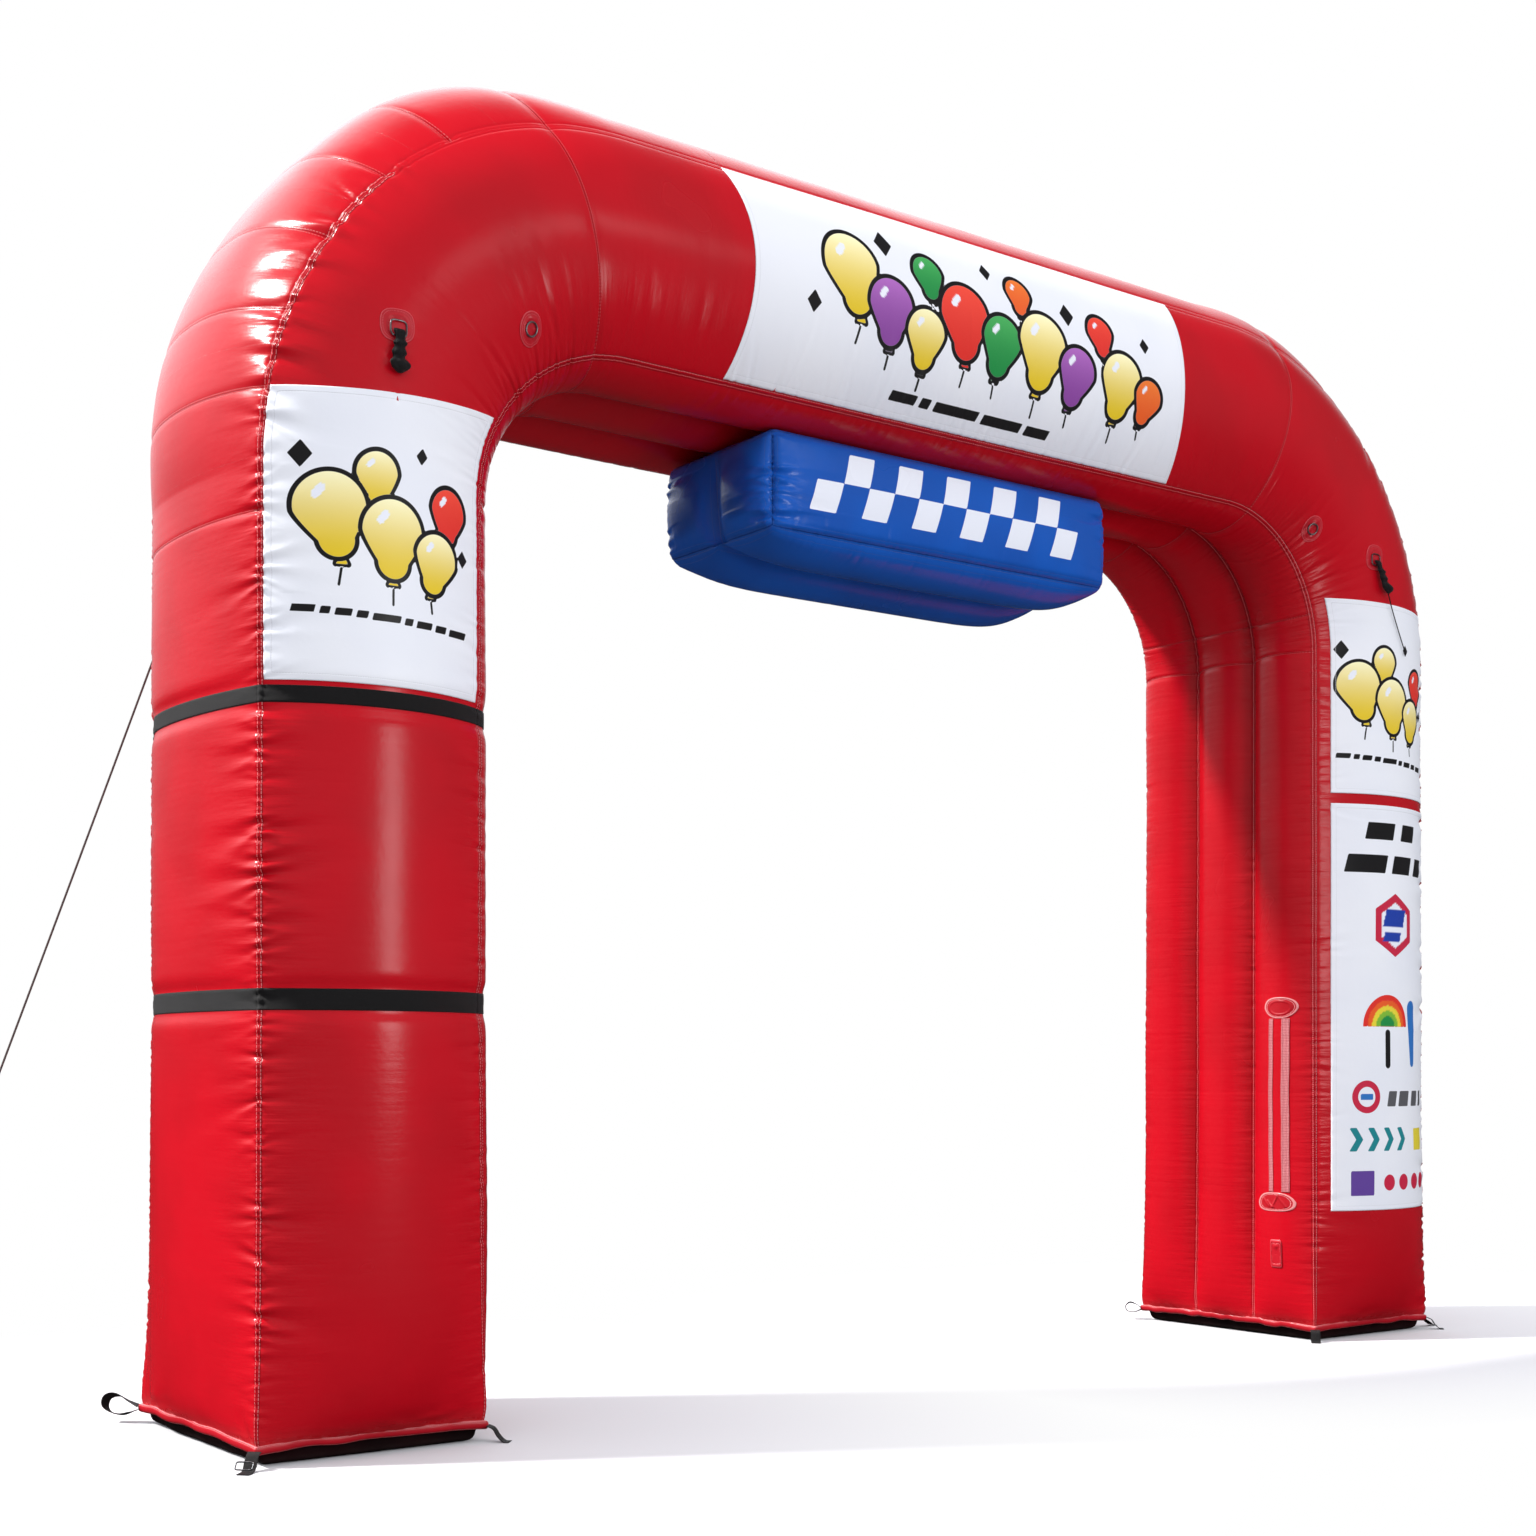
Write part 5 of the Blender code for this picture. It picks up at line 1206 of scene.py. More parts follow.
def makePanel(name):
    side, low, high, inner, outer, rows, columns = panelSet[name]
    across = np.linspace(inner, outer, columns)[None, :]
    up = np.linspace(low, high, rows)[:, None]
    if side == 0:
        bow = 1 - bannerBow / high * (1 - (2 * across - 1) ** 2)
        run, around = np.broadcast_arrays(up * bow, across)
        x, y = run, around * form["legWidth"]
    else:
        y, around = np.broadcast_arrays(up, across)
        rise = topRise * (side < 0) * (1 - across) ** 1.5 * easeStep((up - 3.0) / 0.47)
        run = levelRun(side, around, y + rise)
        x = (around if side > 0 else 1 - around) * form["legWidth"]
    width, length = (outer - inner) * form["legWidth"], high - low
    if side == 0:
        motifs = balloonMotifs(x, y, bannerSet)
    elif name in badgeFoot:
        motifs = balloonMotifs(x, y - badgeFoot[name], badgeSet)
    else:
        motifs = listMotifs(x, y)
    edge, colour = paint(run.shape, motifs)
    place = rimPlace(run.shape, width, length)
    grids = [run, around, edge, *np.moveaxis(place, -1, 0), *np.moveaxis(colour, -1, 0)]
    (run, around, edge, along, gap, *tones), height = withLips(grids, laidSet["lift"])
    points = skin(run, around, height)
    faces = gridSquares(*run.shape)
    if side < 1:
        faces = faces[:, ::-1]      # turned to face outward; on the right leg the rows go the other way
    piece = addPiece(name + "Cloth", points, faces, lookPrint, "white_print_cloth", [name],
                     uv={"edgeMap": pairUp(along, gap)},
                     values={"printEdge": edge, "printColour": np.stack(tones, -1)})
    print("stage: panel", name, 2 * len(faces), "triangles")


def makeBand(name, height, width):
    # webbing round the left leg: flat in the middle, its two edges turned down to the skin
    runs = ringsBetween(legRun(-1, height - width / 2), legRun(-1, height + width / 2))
    arounds = np.unique(np.concatenate([makeArounds(*row) for row in skinSet.values()]))
    heights = np.full(len(runs) + 2, laidSet["bandLift"])
    heights[[1, -2]] *= 0.8
    heights[[0, -1]] = laidSet["lip"]
    runs = np.concatenate([[runs[0]], runs, [runs[-1]]])
    points = skin(runs[:, None], arounds[None, :], heights[:, None])
    lap = alongPath(points[len(runs) // 2])
    piece = addGrid(name + "Strap", points, lookWeb, "black_webbing", name,
                    uv={"webMap": pairUp(lap[None, :], runs[:, None] - runs[0])})


for panelName in panelSet:
    makePanel(panelName)
for bandName, *bandSizes in zip(("lower_band", "upper_band"), form["bandHeights"], form["bandWidths"]):
    makeBand(bandName, *bandSizes)
print("stage: bands")


# ---- hems and bases of the feet ----
hemSet = {
    # height over the hem line and growth of the section, round the folded strip
    "rows": ((0.020, -0.004), (0.0175, 0.0015), (0.0160, 0.0085), (0.0120, 0.0125), (0.0050, 0.0138),
             (-0.0040, 0.0132), (-0.0105, 0.0105), (-0.0135, 0.0050), (-0.0140, -0.0020), (-0.0110, -0.0060)),
    "wave": 0.0042, "scallop": 0.0065, "pleats": 46,
}
baseForm = {
    # height, growth of the section, depth of the folds
    "rows": ((0.060, -0.004, 0.0), (0.054, -0.012, 0.002), (0.047, -0.016, 0.005), (0.036, -0.018, 0.008),
             (0.024, -0.020, 0.009), (0.013, -0.025, 0.008), (0.0055, -0.034, 0.006), (0.0012, -0.046, 0.002),
             (0.0, -0.060, 0.0)),
    "folds": 38, "fineFolds": 90, "bottom": (0.70, 0.35, 0.0), "floor": 0.0002,
}


def footRound(count):
    # places round a foot, evenly spread over each face, closed
    counts = [max(int(count * width / perimeter), 6) for width in faceWidths]
    places = [face + np.linspace(0, 1, spots, endpoint=False) for face, spots in enumerate(counts)]
    return np.concatenate(places + [[6.0]])


def footRing(side, arounds, grow):
    # the section at the hem line, grown by this much, and the directions away from its middle
    ring = plainSkin(side * hemRun, arounds, grow=grow)
    return ring, unit(ring - (side * legX, 0, ring[0, 2]))


def cornerShare(around):
    # 0 along the sides of a foot, 1 at its four corners
    face, t = splitAround(around)
    return np.where(face < 3, t, 2 * (around - 3) / 3 - 1) ** 4


def closedNoise(lap, cells, column):
    # a smooth random line from 0 to 1 that closes on itself, with this many cells round
    values = luck[:cells, column]
    at = lap * cells
    low = np.floor(at).astype(int)
    return values[low % cells] + (values[(low + 1) % cells] - values[low % cells]) * easeStep(at - low)


def makeHem(side, name, node):
    arounds = footRound(520)
    lap = arounds / 6
    droop = form["hemDroop"] * cornerShare(arounds)
    wave = hemSet["wave"] * (2 * closedNoise(lap, hemSet["pleats"], 1) - 1)
    out = hemSet["scallop"] * (closedNoise(lap, hemSet["pleats"], 2) - 0.55)
    pinch = 0.0016 * np.sin(2 * math.pi * closedNoise(lap, 120, 3))
    rings = []
    for up, grow in hemSet["rows"] + hemSet["rows"][:1]:
        ring, away = footRing(side, arounds, grow)
        ring = ring + away * (out * (grow > 0) + pinch)[:, None] * 0.8
        ring[:, 2] = form["hemHeight"] + up - droop + wave
        rings.append(ring)
    points = np.stack(rings)
    girth = alongPath(points[:, 40])
    gap = np.minimum(np.abs(girth - girth[2]), np.abs(girth - girth[7]))      # from the strip's two folds
    return addGrid(name, points, lookHem, "red_coated_cloth", node,
                   uv={"edgeMap": pairUp(alongPath(points[4])[None, :], gap[:, None])})


def makeFootBase(side, node):
    arounds = footRound(300)
    lap = arounds / 6
    fold = closedNoise(lap, baseForm["folds"], 4) - 0.5
    fold = fold + 0.5 * (closedNoise(lap, baseForm["fineFolds"], 5) - 0.5)
    rings = []
    for height, grow, depth in baseForm["rows"]:
        ring, away = footRing(side, arounds, grow)
        ring = ring + away * (depth * fold)[:, None]
        ring[:, 2] = height - 0.5 * form["hemDroop"] * cornerShare(arounds) * (height > 0.04)
        rings.append(ring)
    middle, rim = (side * legX, 0, baseForm["floor"]), rings[-1] * (1, 1, 0) + (0, 0, baseForm["floor"])
    rings += [middle + (rim - middle) * share for share in baseForm["bottom"]]
    return addGrid(node + "Cloth", np.stack(rings), lookBase, "dark_base_cloth", node)


for footSide, footName in ((-1, "left"), (1, "right")):
    makeHem(footSide, footName + "Hem", "air_tube")
    makeFootBase(footSide, footName + "_base")
print("stage: feet")


# ---- hanging box ----
boxSet = {
    "length": 1.824, "depth": 0.730, "height": 0.400, "aside": 0.032, "shift": -0.060, "round": 0.050,
    "belly": 0.088, "faceCrown": 0.035, "endCrown": 0.055, "groove": 0.034, "grooveWidth": 0.11,
    "cornerIn": 0.015, "steps": (208, 72, 84),
    # gathers: pitch, half width, depth, reach
    "puckers": (0.024, 0.0068, 0.0220, 0.070), "fine": (0.016, 0.0045, 0.0050, 0.040),
    "seam": (0.006, 0.012),
}
blockSet = {"start": -0.640, "pitch": 0.128, "wide": 0.0635, "tall": 0.0610, "slant": 0.30, "columns": 11,
            "rows": (-0.061, 0.061), "centre": 0.020}
halfBox = np.array([boxSet["length"], boxSet["depth"], boxSet["height"]]) / 2


def boxSkin(a, b, c):
    # A point of the box for a point of a cube's surface, each part from -1 to 1. Two lobes meet
    # in a groove at b = 0; the edges are pulled in and the cloth is gathered along them.
    lobe = 2 * np.abs(b) - 1
    roundLobe = 1 - lobe ** 2
    x, y, z = a * halfBox[0], b * halfBox[1], c * halfBox[2]
    # the edges are round: what lies outside a smaller box is drawn in to one distance from it
    parts = np.stack([x, y, z])
    inner = halfBox[:, None, None] - boxSet["round"]
    core = np.clip(parts, -inner, inner)
    away = parts - core
    x, y, z = core + away * boxSet["round"] / np.sqrt((away ** 2).sum(0))
    groove = crease(b, boxSet["groove"], boxSet["grooveWidth"]) + crease(b, *boxSet["seam"])
    atEnd, atFace, under = np.abs(a) > 0.9999, np.abs(b) > 0.9999, c < -0.9999
    endOut = boxSet["endCrown"] * roundLobe * (1 - c * c) - groove * (1 - c) / 2
    down = (boxSet["belly"] * (1 + 0.16 * b) * roundLobe - groove) * (1 - a ** 8)
    x = x + np.where(atEnd, a * endOut, 0)
    z = z - np.where(under, down, 0)
    y = y + np.where(atFace, b * boxSet["faceCrown"] * (1 - c * c) * (1 - a ** 6), 0)
    # gathers: pulled in near the upright corners and near the long lower edges
    fromEnd, fromFace = (1 - np.abs(a)) * halfBox[0], (1 - np.abs(b)) * halfBox[1]
    fromCorner = np.where(atEnd, fromFace, fromEnd)
    upright = (atEnd | atFace).astype(float)
    pull = troughs(z, fromCorner, *boxSet["puckers"], 200 + 3 * (a > 0) + 5 * (b > 0), 0)
    fromEdge = np.where(under, np.minimum(fromFace, fromEnd), (1 + c) * halfBox[2])
    along = np.where(atEnd, y, x)
    fine = troughs(along, fromEdge, *boxSet["fine"], 230 + 3 * under.astype(int), 1)
    corner = boxSet["cornerIn"] * np.exp(-fromCorner / 0.02) * (1 - c * c) * upright
    inward = pull * upright * (1 - c ** 8) + fine + 0.0015 * np.exp(-(fromEdge - 0.03) ** 2 / 0.00002)
    x = x - np.where(atEnd, a * inward, 0) - a * corner * 0.8
    y = y - np.where(atFace, b * inward, 0) - b * corner * 0.8
    z = z + np.where(under, inward, 0)
    swell = 0.0025 * np.sin(5 * x + 9 * y + 2) * np.sin(11 * z + 3 * x)
    y = y + np.where(atFace, b * swell, 0)
    top = form["soffitHeight"] - form["lobeCrownBeam"] - 0.0004
    return np.stack([x + boxSet["aside"], y + boxSet["shift"], z + top - boxSet["height"] / 2], -1)


def boxMotifs(x, y):
    # a slanting chequer of white blocks, as on a start or finish flag
    motifs = []
    for row, height in enumerate(blockSet["rows"]):
        for column in range(row % 2, blockSet["columns"], 2):
            at = blockSet["start"] + column * blockSet["pitch"] + height * blockSet["slant"]
            field = barField(x, y, (at, blockSet["centre"] + height), blockSet["wide"], blockSet["tall"],
                             blockSet["slant"])
            motifs.append(plain(field, "white"))
    return motifs


def makeBox():
    # six sides, each a grid on the cube, closer together near the edges, joined along them
    points, faces, places, edges, colours, start = [], [], [], [], [], 0
    for axis in range(3):
        one, two = (axis + 1) % 3, (axis + 2) % 3
        for level in (-1.0, 1.0):
            rows, columns = boxSet["steps"][one], boxSet["steps"][two]
            u = np.linspace(-1, 1, rows)[:, None] * np.ones((1, columns))
            v = np.linspace(-1, 1, columns)[None, :] * np.ones((rows, 1))
            parts = [None, None, None]
            parts[axis], parts[one], parts[two] = np.full((rows, columns), level), u, v
            fromU, fromV = (1 - np.abs(u)) * halfBox[one], (1 - np.abs(v)) * halfBox[two]
            along = np.where(fromU < fromV, v * halfBox[two], u * halfBox[one])
            gap = np.minimum(fromU, fromV)
            middle = np.abs(parts[1]) * halfBox[1]
            if axis == 0 or (axis == 2 and level < 0):      # the seam in the groove between the lobes
                seam = parts[0] * halfBox[0] if axis == 2 else parts[2] * halfBox[2]
                along = np.where(middle < gap, seam, along)
                gap = np.minimum(gap, middle + 0.0005)
            edge, colour = np.full((rows, columns), -1.0), np.ones((rows, columns, 4)) * (1, 1, 1, 0)
            if axis == 1 and level < 0:
                edge, colour = paint((rows, columns), boxMotifs(parts[0] * halfBox[0], parts[2] * halfBox[2]))
            points.append(boxSkin(*parts).reshape(-1, 3))
            faces.append(gridSquares(rows, columns, start=start))
            places.append(pairUp(along, gap).reshape(-1, 2))
            edges.append(edge.ravel())
            colours.append(colour.reshape(-1, 4))
            start += rows * columns
    points, faces, places, edges, colours = map(np.concatenate, (points, faces, places, edges, colours))
    piece = addPiece("hangingBoxCloth", points, faces, lookBlue, "blue_coated_cloth", ["hanging_box"],
                     uv={"edgeMap": places}, values={"printEdge": edges, "printColour": colours}, merge=2e-5)
    print("stage: box", 2 * len(faces), "triangles")


makeBox()


# ---- patches, rings and the zip ----
patchSet = {
    # node: x and z of the middle, half width, half height, squareness, front or rear
    "left_tie_patch": (-2.579, 3.706, 0.058, 0.055, 2.8, 0),
    "right_tie_patch": (2.460, 3.668, 0.056, 0.058, 2.8, 0),
    "rear_tie_patch": (-2.579, 3.706, 0.058, 0.055, 2.8, 2),
    "left_ring_patch": (-2.060, 3.812, 0.048, 0.056, 2.0, 0),
    "right_ring_patch": (2.082, 3.758, 0.048, 0.056, 2.0, 0),
}
zipSet = {
    # node: y and z of the middle, half width, half height, squareness
    "zip_top_patch": (-0.392, 1.558, 0.088, 0.050, 2.4),
    "zip_bottom_patch": (-0.364, 0.646, 0.108, 0.044, 3.0),
    "side_flap": (-0.370, 0.403, 0.032, 0.066, 9.0),
}
tapeSet = {"zip_left_tape": (-0.345, 0.694, 1.507, 0.013), "zip_right_tape": (-0.422, 0.694, 1.507, 0.020)}
downToSkin = 0.0003        # height of an edge that is welded or sewn down
ringSet = {
    # half width, half height, squareness, half thickness of the wire
    "left_tie_ring": (0.029, 0.026, 4.0, 0.0030), "right_tie_ring": (0.029, 0.026, 4.0, 0.0030),
    "rear_tie_ring": (0.029, 0.026, 4.0, 0.0030), "left_ring_loop": (0.024, 0.024, 2.0, 0.0035),
    "right_ring_loop": (0.024, 0.024, 2.0, 0.0035),
}


def frontPlace(x, z, face):
    # run and around of the spot on the front (0) or rear (2) face straight behind x and z
    side = np.where(x < 0, -1.0, 1.0)
    out = np.abs(x) - halfBeam
    onBeam, onLeg = out < 0, z < elbowHeight
    turn = np.arctan2(np.maximum(out, 0), np.maximum(z - elbowHeight, 1e-9))
    q = np.hypot(out, z - elbowHeight) - elbowRadius
    q = np.where(onLeg, np.abs(x) - legX, np.where(onBeam, z - elbowHeight - elbowRadius, q))
    run = side * np.where(onLeg, halfBeam + elbowRun + elbowHeight - z,
                          np.where(onBeam, np.abs(x), halfBeam + turn * elbowRadius))
    share = (q / halfTube + 1) / 2
    return run, np.where(face == 0, share, 2 + (1 - share))


def polarGrid(halfWide, halfTall, power, rims, steps=72):
    # rings of a rounded outline from its middle out; the share out to the rim, and offsets
    shares = np.concatenate([np.linspace(0.0, 0.94, rims), [0.965, 0.985, 1.0, 1.0]])
    turns = np.linspace(0, 2 * math.pi, steps + 1)
    across, up = ovalOutline(turns, halfWide, halfTall, power)
    return shares[:, None], shares[:, None] * across, shares[:, None] * up, turns


def plateHeight(share, thick):
    # flat plate with a rounded rim
    return thick * np.sqrt(np.clip(1 - ((share - 0.94) / 0.06).clip(0, 1) ** 2 * 0.75, 0, 1))


def layPlate(node, sizes, share, turns, height, run, around, look):
    # the plate on the skin: its last ring goes down to it, and its map follows its rim
    halfWide, halfTall = sizes
    height = height + 0 * run
    height[-1] = downToSkin
    place = pairUp(turns[None, :] * (halfWide + halfTall) / 2, (1 - share) * min(halfWide, halfTall))
    return addGrid(node + "Cloth", skin(run, around, height), look, "red_coated_cloth", node,
                   uv={"edgeMap": place}, recalc=True)


def makePatch(node):
    # a welded patch, with a raised ring where the steel ring's strap is sewn through it
    x, z, halfWide, halfTall, power, face = patchSet[node]
    share, across, up, turns = polarGrid(halfWide, halfTall, power, 20)
    height = plateHeight(share, 0.0032) + 0.0016 * np.exp(-((share - 0.60) / 0.06) ** 2)
    height = height + 0.0006 * np.sin(5 * turns[None, :] + 1.3) * np.sin(math.pi * share) ** 2
    place = frontPlace(x + across, z + up, face)
    return layPlate(node, (halfWide, halfTall), share, turns, height, *place, lookPatch)


def innerPlace(y, z):
    # run and around of a spot on the inner face of the right leg
    run = legRun(1, z)
    halfY = sectionSizes(run)[0]
    return run, 3 + 3 * (halfY - y) / (2 * halfY)


# ridges in the lower patch: both ends of each, across and up from its middle
zipRidges = (((-0.060, -0.022), (-0.022, 0.030)), ((-0.022, 0.030), (0.012, -0.024)),
             ((0.012, -0.024), (0.040, 0.004)), ((0.030, -0.020), (0.070, 0.014)))


def makeZipPatch(node):
    y, z, halfWide, halfTall, power = zipSet[node]
    share, across, up, turns = polarGrid(halfWide, halfTall, power, 24, 84)
    height = plateHeight(share, 0.0034)
    if node == "zip_top_patch":
        height = height + 0.0022 * np.exp(-((share - 0.62) / 0.07) ** 2)
        narrow = 1 - 0.22 * np.clip(-up / halfTall, 0, 1)
    elif node == "zip_bottom_patch":
        for start, end in zipRidges:
            ridge = segmentField(across, up, start, end, 0.0)
            height = height + 0.0045 * np.exp(-(ridge / 0.0045) ** 2)
        narrow = 1 - 0.24 * np.clip(up / halfTall, 0, 1)
    else:
        height = plateHeight(share, 0.0060) + 0.0030 * np.exp(-((share - 0.84) / 0.07) ** 2)
        height = height + 0.0080 * np.exp(-(across ** 2 + (up - 0.036) ** 2) / 0.00016)
        height = height - 0.0015 * np.exp(-((up + 0.002) / 0.002) ** 2)
        narrow = 1.0
    place = innerPlace(y + across * narrow, z + up)
    look = lookPatch if node == "side_flap" else lookZipPatch
    return layPlate(node, (halfWide, halfTall), share, turns, height, *place, look)


def makeTape(node):
    # a ribbed tape: two rolled edges and a row of fine ribs between them, ends turned down
    y, low, high, half = tapeSet[node]
    up = np.concatenate([[low], np.linspace(low, high, 220), [high]])[:, None]
    across = np.concatenate([[-1.0], np.linspace(-1, 1, 17), [1.0]])[None, :]
    rolled = np.exp(-((np.abs(across) - 0.78) / 0.16) ** 2)
    ribs = 0.5 + 0.5 * np.sin(2 * math.pi * up / 0.0085)
    height = 0.0022 + 0.0026 * rolled + 0.0012 * ribs * (np.abs(across) < 0.6)
    height[[0, -1]] = downToSkin
    height[:, [0, -1]] = downToSkin
    bend = 0.0016 * np.sin(7.0 * up + y) + 0.0009 * np.sin(23.0 * up)
    points = skin(*innerPlace(y + across * half * 0.98 + bend, up + 0 * across), height)
    return addGrid(node + "Cloth", points, lookTape, "pale_zip_tape", node,
                   uv={"webMap": pairUp(up - low, across * half)}, merge=0.0, recalc=True)


for patchNode in patchSet:
    makePatch(patchNode)
for zipNode in zipSet:
    makeZipPatch(zipNode)
for tapeNode in tapeSet:
    makeTape(tapeNode)
for ringNode, ringSizes in ringSet.items():
    makeRing(ringNode, *ringSizes, lookSteel, "steel_ring", "Wire")
makeRing("left_front_tab_slider", 0.029, 0.014, 6.0, 0.0025, lookSlider, "steel_ring", "Wire", steps=96)
print("stage: patches and rings")


# ---- webbing at the feet and on the ties ----
hemEdge = form["hemHeight"] - form["hemDroop"]
# routes: distance out, height over the ground, twist in degrees
shortTab = ((0.0, hemEdge, 0), (0.022, 0.046, 0), (0.038, 0.022, 0), (0.058, 0.004, 0), (0.078, 0.0022, 0))
buckledTab = ((0.0, hemEdge, 0), (0.020, 0.047, 0), (0.036, 0.024, 0), (0.056, 0.004, 0), (0.100, 0.0022, 0))
tuckedTab = ((0.0, hemEdge, 0), (0.018, 0.046, 0), (0.026, 0.024, 0), (0.034, 0.006, 0), (0.052, 0.0022, 0))
stiffTail = ((0.0, hemEdge, 0), (0.040, 0.050, 4), (0.085, 0.030, 8), (0.125, 0.0080, 4), (0.150, 0.0022, 0))
bigLoop = ((0.0, hemEdge + 0.006, 0), (0.040, 0.080, 12), (0.082, 0.100, 25), (0.118, 0.092, 30),
           (0.128, 0.064, 10), (0.112, 0.040, -14), (0.070, 0.030, -16), (0.030, 0.040, -6),
           (0.0, hemEdge - 0.006, 0))
smallLoop = ((0.0, hemEdge + 0.006, 0), (0.026, 0.078, 8), (0.054, 0.086, 14), (0.074, 0.068, 6),
             (0.066, 0.044, -4), (0.034, 0.038, -4), (0.0, hemEdge - 0.006, 0))
footWebSet = {
    # node: leg side, corner of the section, sewn at the corner or along the side, its route
    "left_rear_loop": (-1, 2, "corner", bigLoop), "left_front_tab": (-1, 1, "corner", buckledTab),
    "left_inner_front_tab": (-1, 0, "corner", shortTab), "left_inner_rear_tab": (-1, 3, "corner", shortTab),
    "right_inner_rear_loop": (1, 3, "corner", smallLoop),
    "right_inner_front_tab": (1, 0, "corner", tuckedTab),
    "right_front_tab": (1, 1, "corner", shortTab), "right_front_tail": (1, 1, "side", stiffTail),
    "right_rear_tab": (1, 2, "corner", shortTab),
}
webSize = {"width": 0.045, "thick": 0.0026, "setback": 0.070, "bow": 0.0016, "spots": 14, "sides": 24}


def makeFootWeb(node):
    # flat webbing: an oblong with round sides carried along the route, a little cupped
    side, corner, sewnAt, route = footWebSet[node]
    spot = plainSkin(side * hemRun, float(corner), grow=form["hemLip"])
    away = np.array((np.sign(spot[0] - side * legX), np.sign(spot[1]), 0.0))
    out = unit(away)
    if sewnAt == "side":
        out = np.array((away[0], 0.0, 0.0))
        spot = spot - np.array((0.0, away[1] * webSize["setback"], 0.0))
    spot[2] = 0.0
    beside = np.cross((0, 0, 1.0), out)
    knots = [(*(spot + out * (reach + 0.0004) + (0, 0, height)), twist) for reach, height, twist in route]
    line = smoothLine(knots, webSize["spots"] * (len(route) - 1))
    path, twist = line[:, :3], np.radians(line[:, 3])[:, None]
    ahead = np.gradient(path, axis=0)
    ahead[[0, -1], 2] = 0.0
    ahead = unit(ahead)
    wide = beside * np.cos(twist) + np.cross(ahead, beside) * np.sin(twist)
    thick = np.cross(ahead, wide)
    u, v = ovalOutline(np.linspace(0, 2 * math.pi, webSize["sides"] + 1), 0.5, 0.5, 7.0)
    metres = alongPath(path)
    narrow = 1 - 0.05 * np.sin(metres * 61)[:, None] ** 2
    cup = webSize["bow"] * (1 - (2 * u[None, :]) ** 2) * np.sin(math.pi * metres / metres[-1])[:, None]
    points = (path[:, None] + wide[:, None] * (u[None, :] * webSize["width"] * narrow)[..., None]
              + thick[:, None] * (v[None, :] * webSize["thick"] + cup)[..., None])
    points = closeEnds(points)
    points[..., 2] = np.maximum(points[..., 2], downToSkin)
    metres = np.concatenate([metres[:1], metres, metres[-1:]])
    return addGrid(node + "Strap", points, lookWeb, "black_webbing", node,
                   uv={"webMap": pairUp(metres[:, None], (u * webSize["width"])[None, :])})


tieWebSet = {
    # drop below the fold, half width, half thickness, sideways shift
    "rows": ((0.000, 0.019, 0.003, 0.000), (0.010, 0.022, 0.006, 0.000), (0.034, 0.018, 0.006, 0.002),
             (0.048, 0.026, 0.009, 0.001), (0.060, 0.021, 0.007, -0.001), (0.078, 0.027, 0.010, -0.003),
             (0.094, 0.022, 0.008, -0.005), (0.112, 0.036, 0.013, -0.003), (0.130, 0.031, 0.012, -0.002),
             (0.144, 0.009, 0.006, -0.001)),
    "rings": 70, "sides": 48, "folds": 5, "foldDepth": 0.16,
    # x of the ring, and how far the webbing leans aside for each metre down
    "start": {"left_tie_web": -2.579, "right_tie_web": 2.460},
    "lean": {"left_tie_web": 0.0, "right_tie_web": 0.5752},
}


def makeTieWeb(node):
    # Bunched webbing that hangs from its ring: ovals of the widths in the table, their middles
    # on a line down the node's box, with folds that wind slowly round it
    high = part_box(node)[1]
    rows = smoothLine([(0.0, 0.0, *row) for row in tieWebSet["rows"]], tieWebSet["rings"])
    drop, wide, thick, shift = rows.T[2:]
    turns = np.linspace(0, 2 * math.pi, tieWebSet["sides"] + 1)[None, :]
    wind = tieWebSet["folds"] * turns + 26 * drop[:, None] + 1.4 * np.sin(70 * drop)[:, None]
    fold = 1 - tieWebSet["foldDepth"] * (0.5 + 0.5 * np.cos(wind)) ** 2
    ripple = 1 + 0.05 * np.cos(2 * turns + 160 * drop[:, None])
    x = tieWebSet["start"][node] + tieWebSet["lean"][node] * drop + shift
    y = high.y - thick
    points = np.stack([x[:, None] + wide[:, None] * np.cos(turns) * fold * ripple,
                       y[:, None] + thick[:, None] * np.sin(turns) * fold,
                       (high.z - drop)[:, None] + 0 * fold], -1)
    metres = np.concatenate([[0], drop, [drop[-1]]])
    return addGrid(node + "Strap", closeEnds(points), lookWeb, "black_webbing", node,
                   uv={"webMap": pairUp(metres[:, None], turns * 0.02)})


for webNode in footWebSet:
    makeFootWeb(webNode)
for webNode in ("left_tie_web", "right_tie_web"):
    makeTieWeb(webNode)
print("stage: webbing")


# ---- floor and light ----
lightSet = {
    "sunPower": 5.0, "sunColour": (1.0, 0.985, 0.96), "sunSpread": 4.5,
    "sunTravel": (0.8786, -0.4775, -1.0),
    "skyColour": (0.94, 0.96, 1.0), "skyPower": 1.40, "skyGloss": 0.05, "skyShine": 2.6,
    # the ground's tone as it lights the arch, as the arch mirrors it, and as it is seen
    "floorTones": (0.17, 0.012, 0.68), "fadeFrom": 1.1, "fadeTo": 3.3,
    # soft panels: place, spot they face, width and height, power
    "panels": (((0.5, -6.9, 2.6), (-2.6, -0.6, 1.9), (1.4, 2.4), 85.0),
               ((2.0, -9.0, 8.5), (-1.0, -0.6, 2.5), (5.0, 1.6), 45.0)),
}


def mixShaders(tree, share, one, two, last):
    # the first shader where the share is 0 and the second where it is 1, on to the output
    mix = addNode(tree, "MixShader")
    feed(tree, mix.inputs[0], share)
    tree.links.new(one.outputs[0], mix.inputs[1])
    tree.links.new(two.outputs[0], mix.inputs[2])
    tree.links.new(mix.outputs[0], tree.nodes[last].inputs["Surface"])


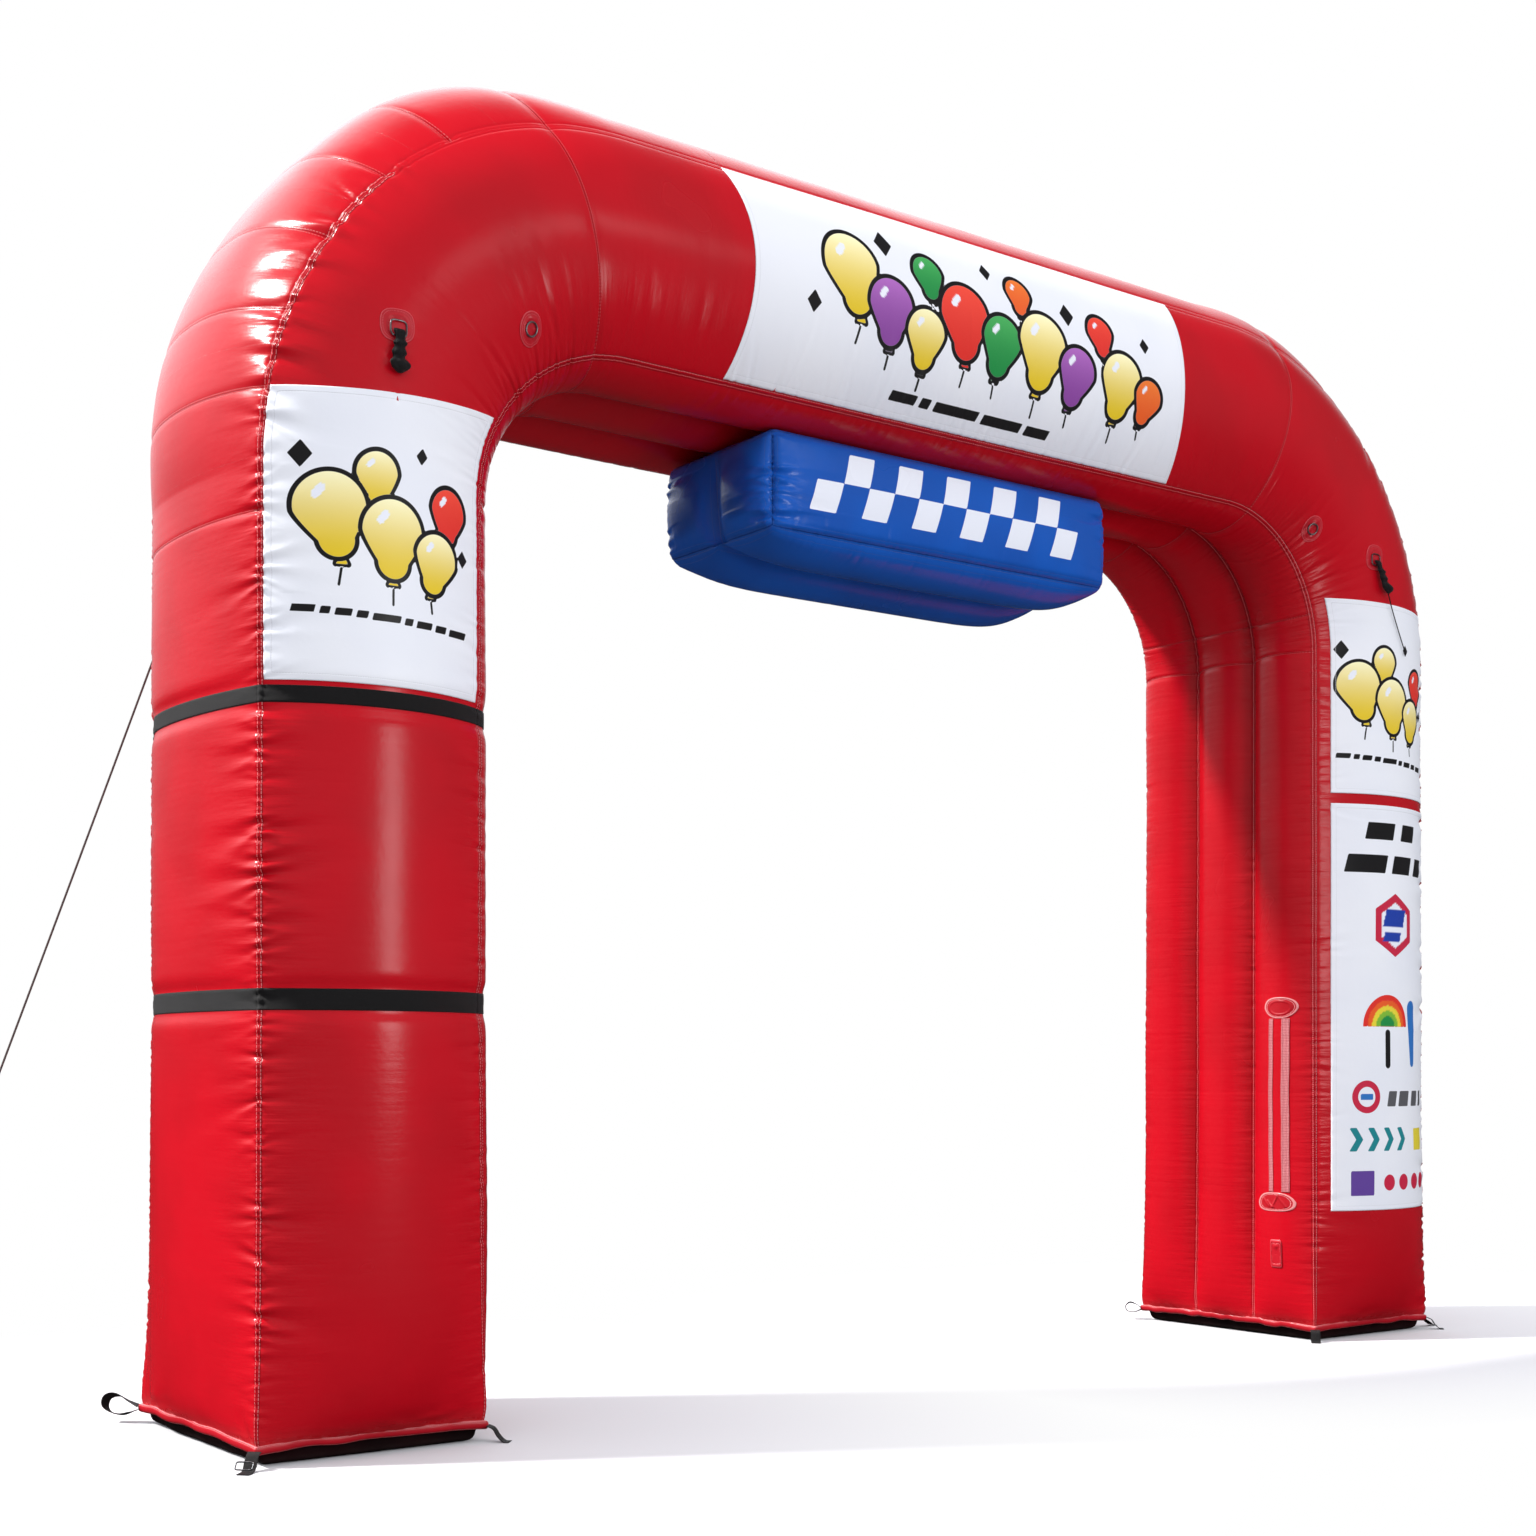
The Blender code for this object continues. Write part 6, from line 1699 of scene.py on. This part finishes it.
def makeFloor():
    mesh = bpy.data.meshes.new("studioFloor")
    mesh.from_pydata([(-90, -90, 0), (90, -90, 0), (90, 90, 0), (-90, 90, 0)], [], [(0, 1, 2, 3)])
    placeObject("studioFloor", mesh)
    material, tree, shader, place = newMaterial("paleFloor", 0.95, 0.0)
    rays = addNode(tree, "LightPath")
    bounce, gloss, seen = [(tone, tone, tone * 1.03, 1) for tone in lightSet["floorTones"]]
    tone = blend(tree, rays.outputs["Is Glossy Ray"], bounce, gloss)
    feed(tree, shader.inputs["Base Color"], blend(tree, rays.outputs["Is Camera Ray"], tone, seen))
    # painted light: for the camera the ground glows more a few metres from the nearer foot, so the shadows
    # fade into it
    away = [addNode(tree, "VectorMath", operation="DISTANCE") for _ in range(2)]
    for node, side in zip(away, (-1, 1)):
        feed(tree, node.inputs[0], place)
        node.inputs[1].default_value = (side * legX, 0, 0)
    near = calc(tree, "MINIMUM", away[0].outputs["Value"], away[1].outputs["Value"])
    fade = times(tree, ramp(tree, near, lightSet["fadeFrom"], lightSet["fadeTo"]),
                 rays.outputs["Is Camera Ray"])
    mixShaders(tree, fade, shader, addNode(tree, "Emission"), "Material Output")
    mesh.materials.append(material)


def makeSky():
    world = bpy.data.worlds.new("paleRoom")
    bpy.context.scene.world = world
    world.use_nodes = True
    tree = world.node_tree
    sky = tree.nodes["Background"]
    sky.inputs["Color"].default_value = (*lightSet["skyColour"], 1)
    white = addNode(tree, "Background")
    white.inputs["Color"].default_value = (1, 1, 1, 1)
    rays = addNode(tree, "LightPath")
    # shiny cloth mirrors a pale room only from high up behind the arch
    toward = addNode(tree, "SeparateXYZ")
    feed(tree, toward.inputs[0], addNode(tree, "TexCoord").outputs["Generated"])
    high = times(tree, ramp(tree, toward.outputs["Z"], -0.02, 0.70),
                 ramp(tree, toward.outputs["Y"], 0.15, 0.75))
    shine = calc(tree, "MULTIPLY_ADD", high, lightSet["skyShine"], lightSet["skyGloss"])
    power = blend(tree, rays.outputs["Is Glossy Ray"], lightSet["skyPower"], shine, "FLOAT")
    feed(tree, sky.inputs["Strength"], power)
    mixShaders(tree, rays.outputs["Is Camera Ray"], sky, white, "World Output")


def makeLights():
    data = bpy.data.lights.new("softSun", "SUN")
    data.energy = lightSet["sunPower"]
    data.color = lightSet["sunColour"]
    data.angle = math.radians(lightSet["sunSpread"])
    sun = placeObject("softSun", data)
    sun.rotation_euler = Vector(lightSet["sunTravel"]).to_track_quat("-Z", "Y").to_euler()
    for number, (place, aim, size, power) in enumerate(lightSet["panels"]):
        data = bpy.data.lights.new("softPanel" + str(number), "AREA")
        data.shape = "RECTANGLE"
        data.size, data.size_y = size
        data.energy = power
        panel = placeObject("softPanel" + str(number), data)
        panel.location = place
        panel.rotation_euler = (Vector(aim) - Vector(place)).to_track_quat("-Z", "Y").to_euler()
        panel.visible_camera = False
    bpy.context.scene.view_settings.view_transform = "Standard"
    bpy.context.scene.view_settings.look = "None"


makeFloor()
makeSky()
makeLights()
print("stage: studio")
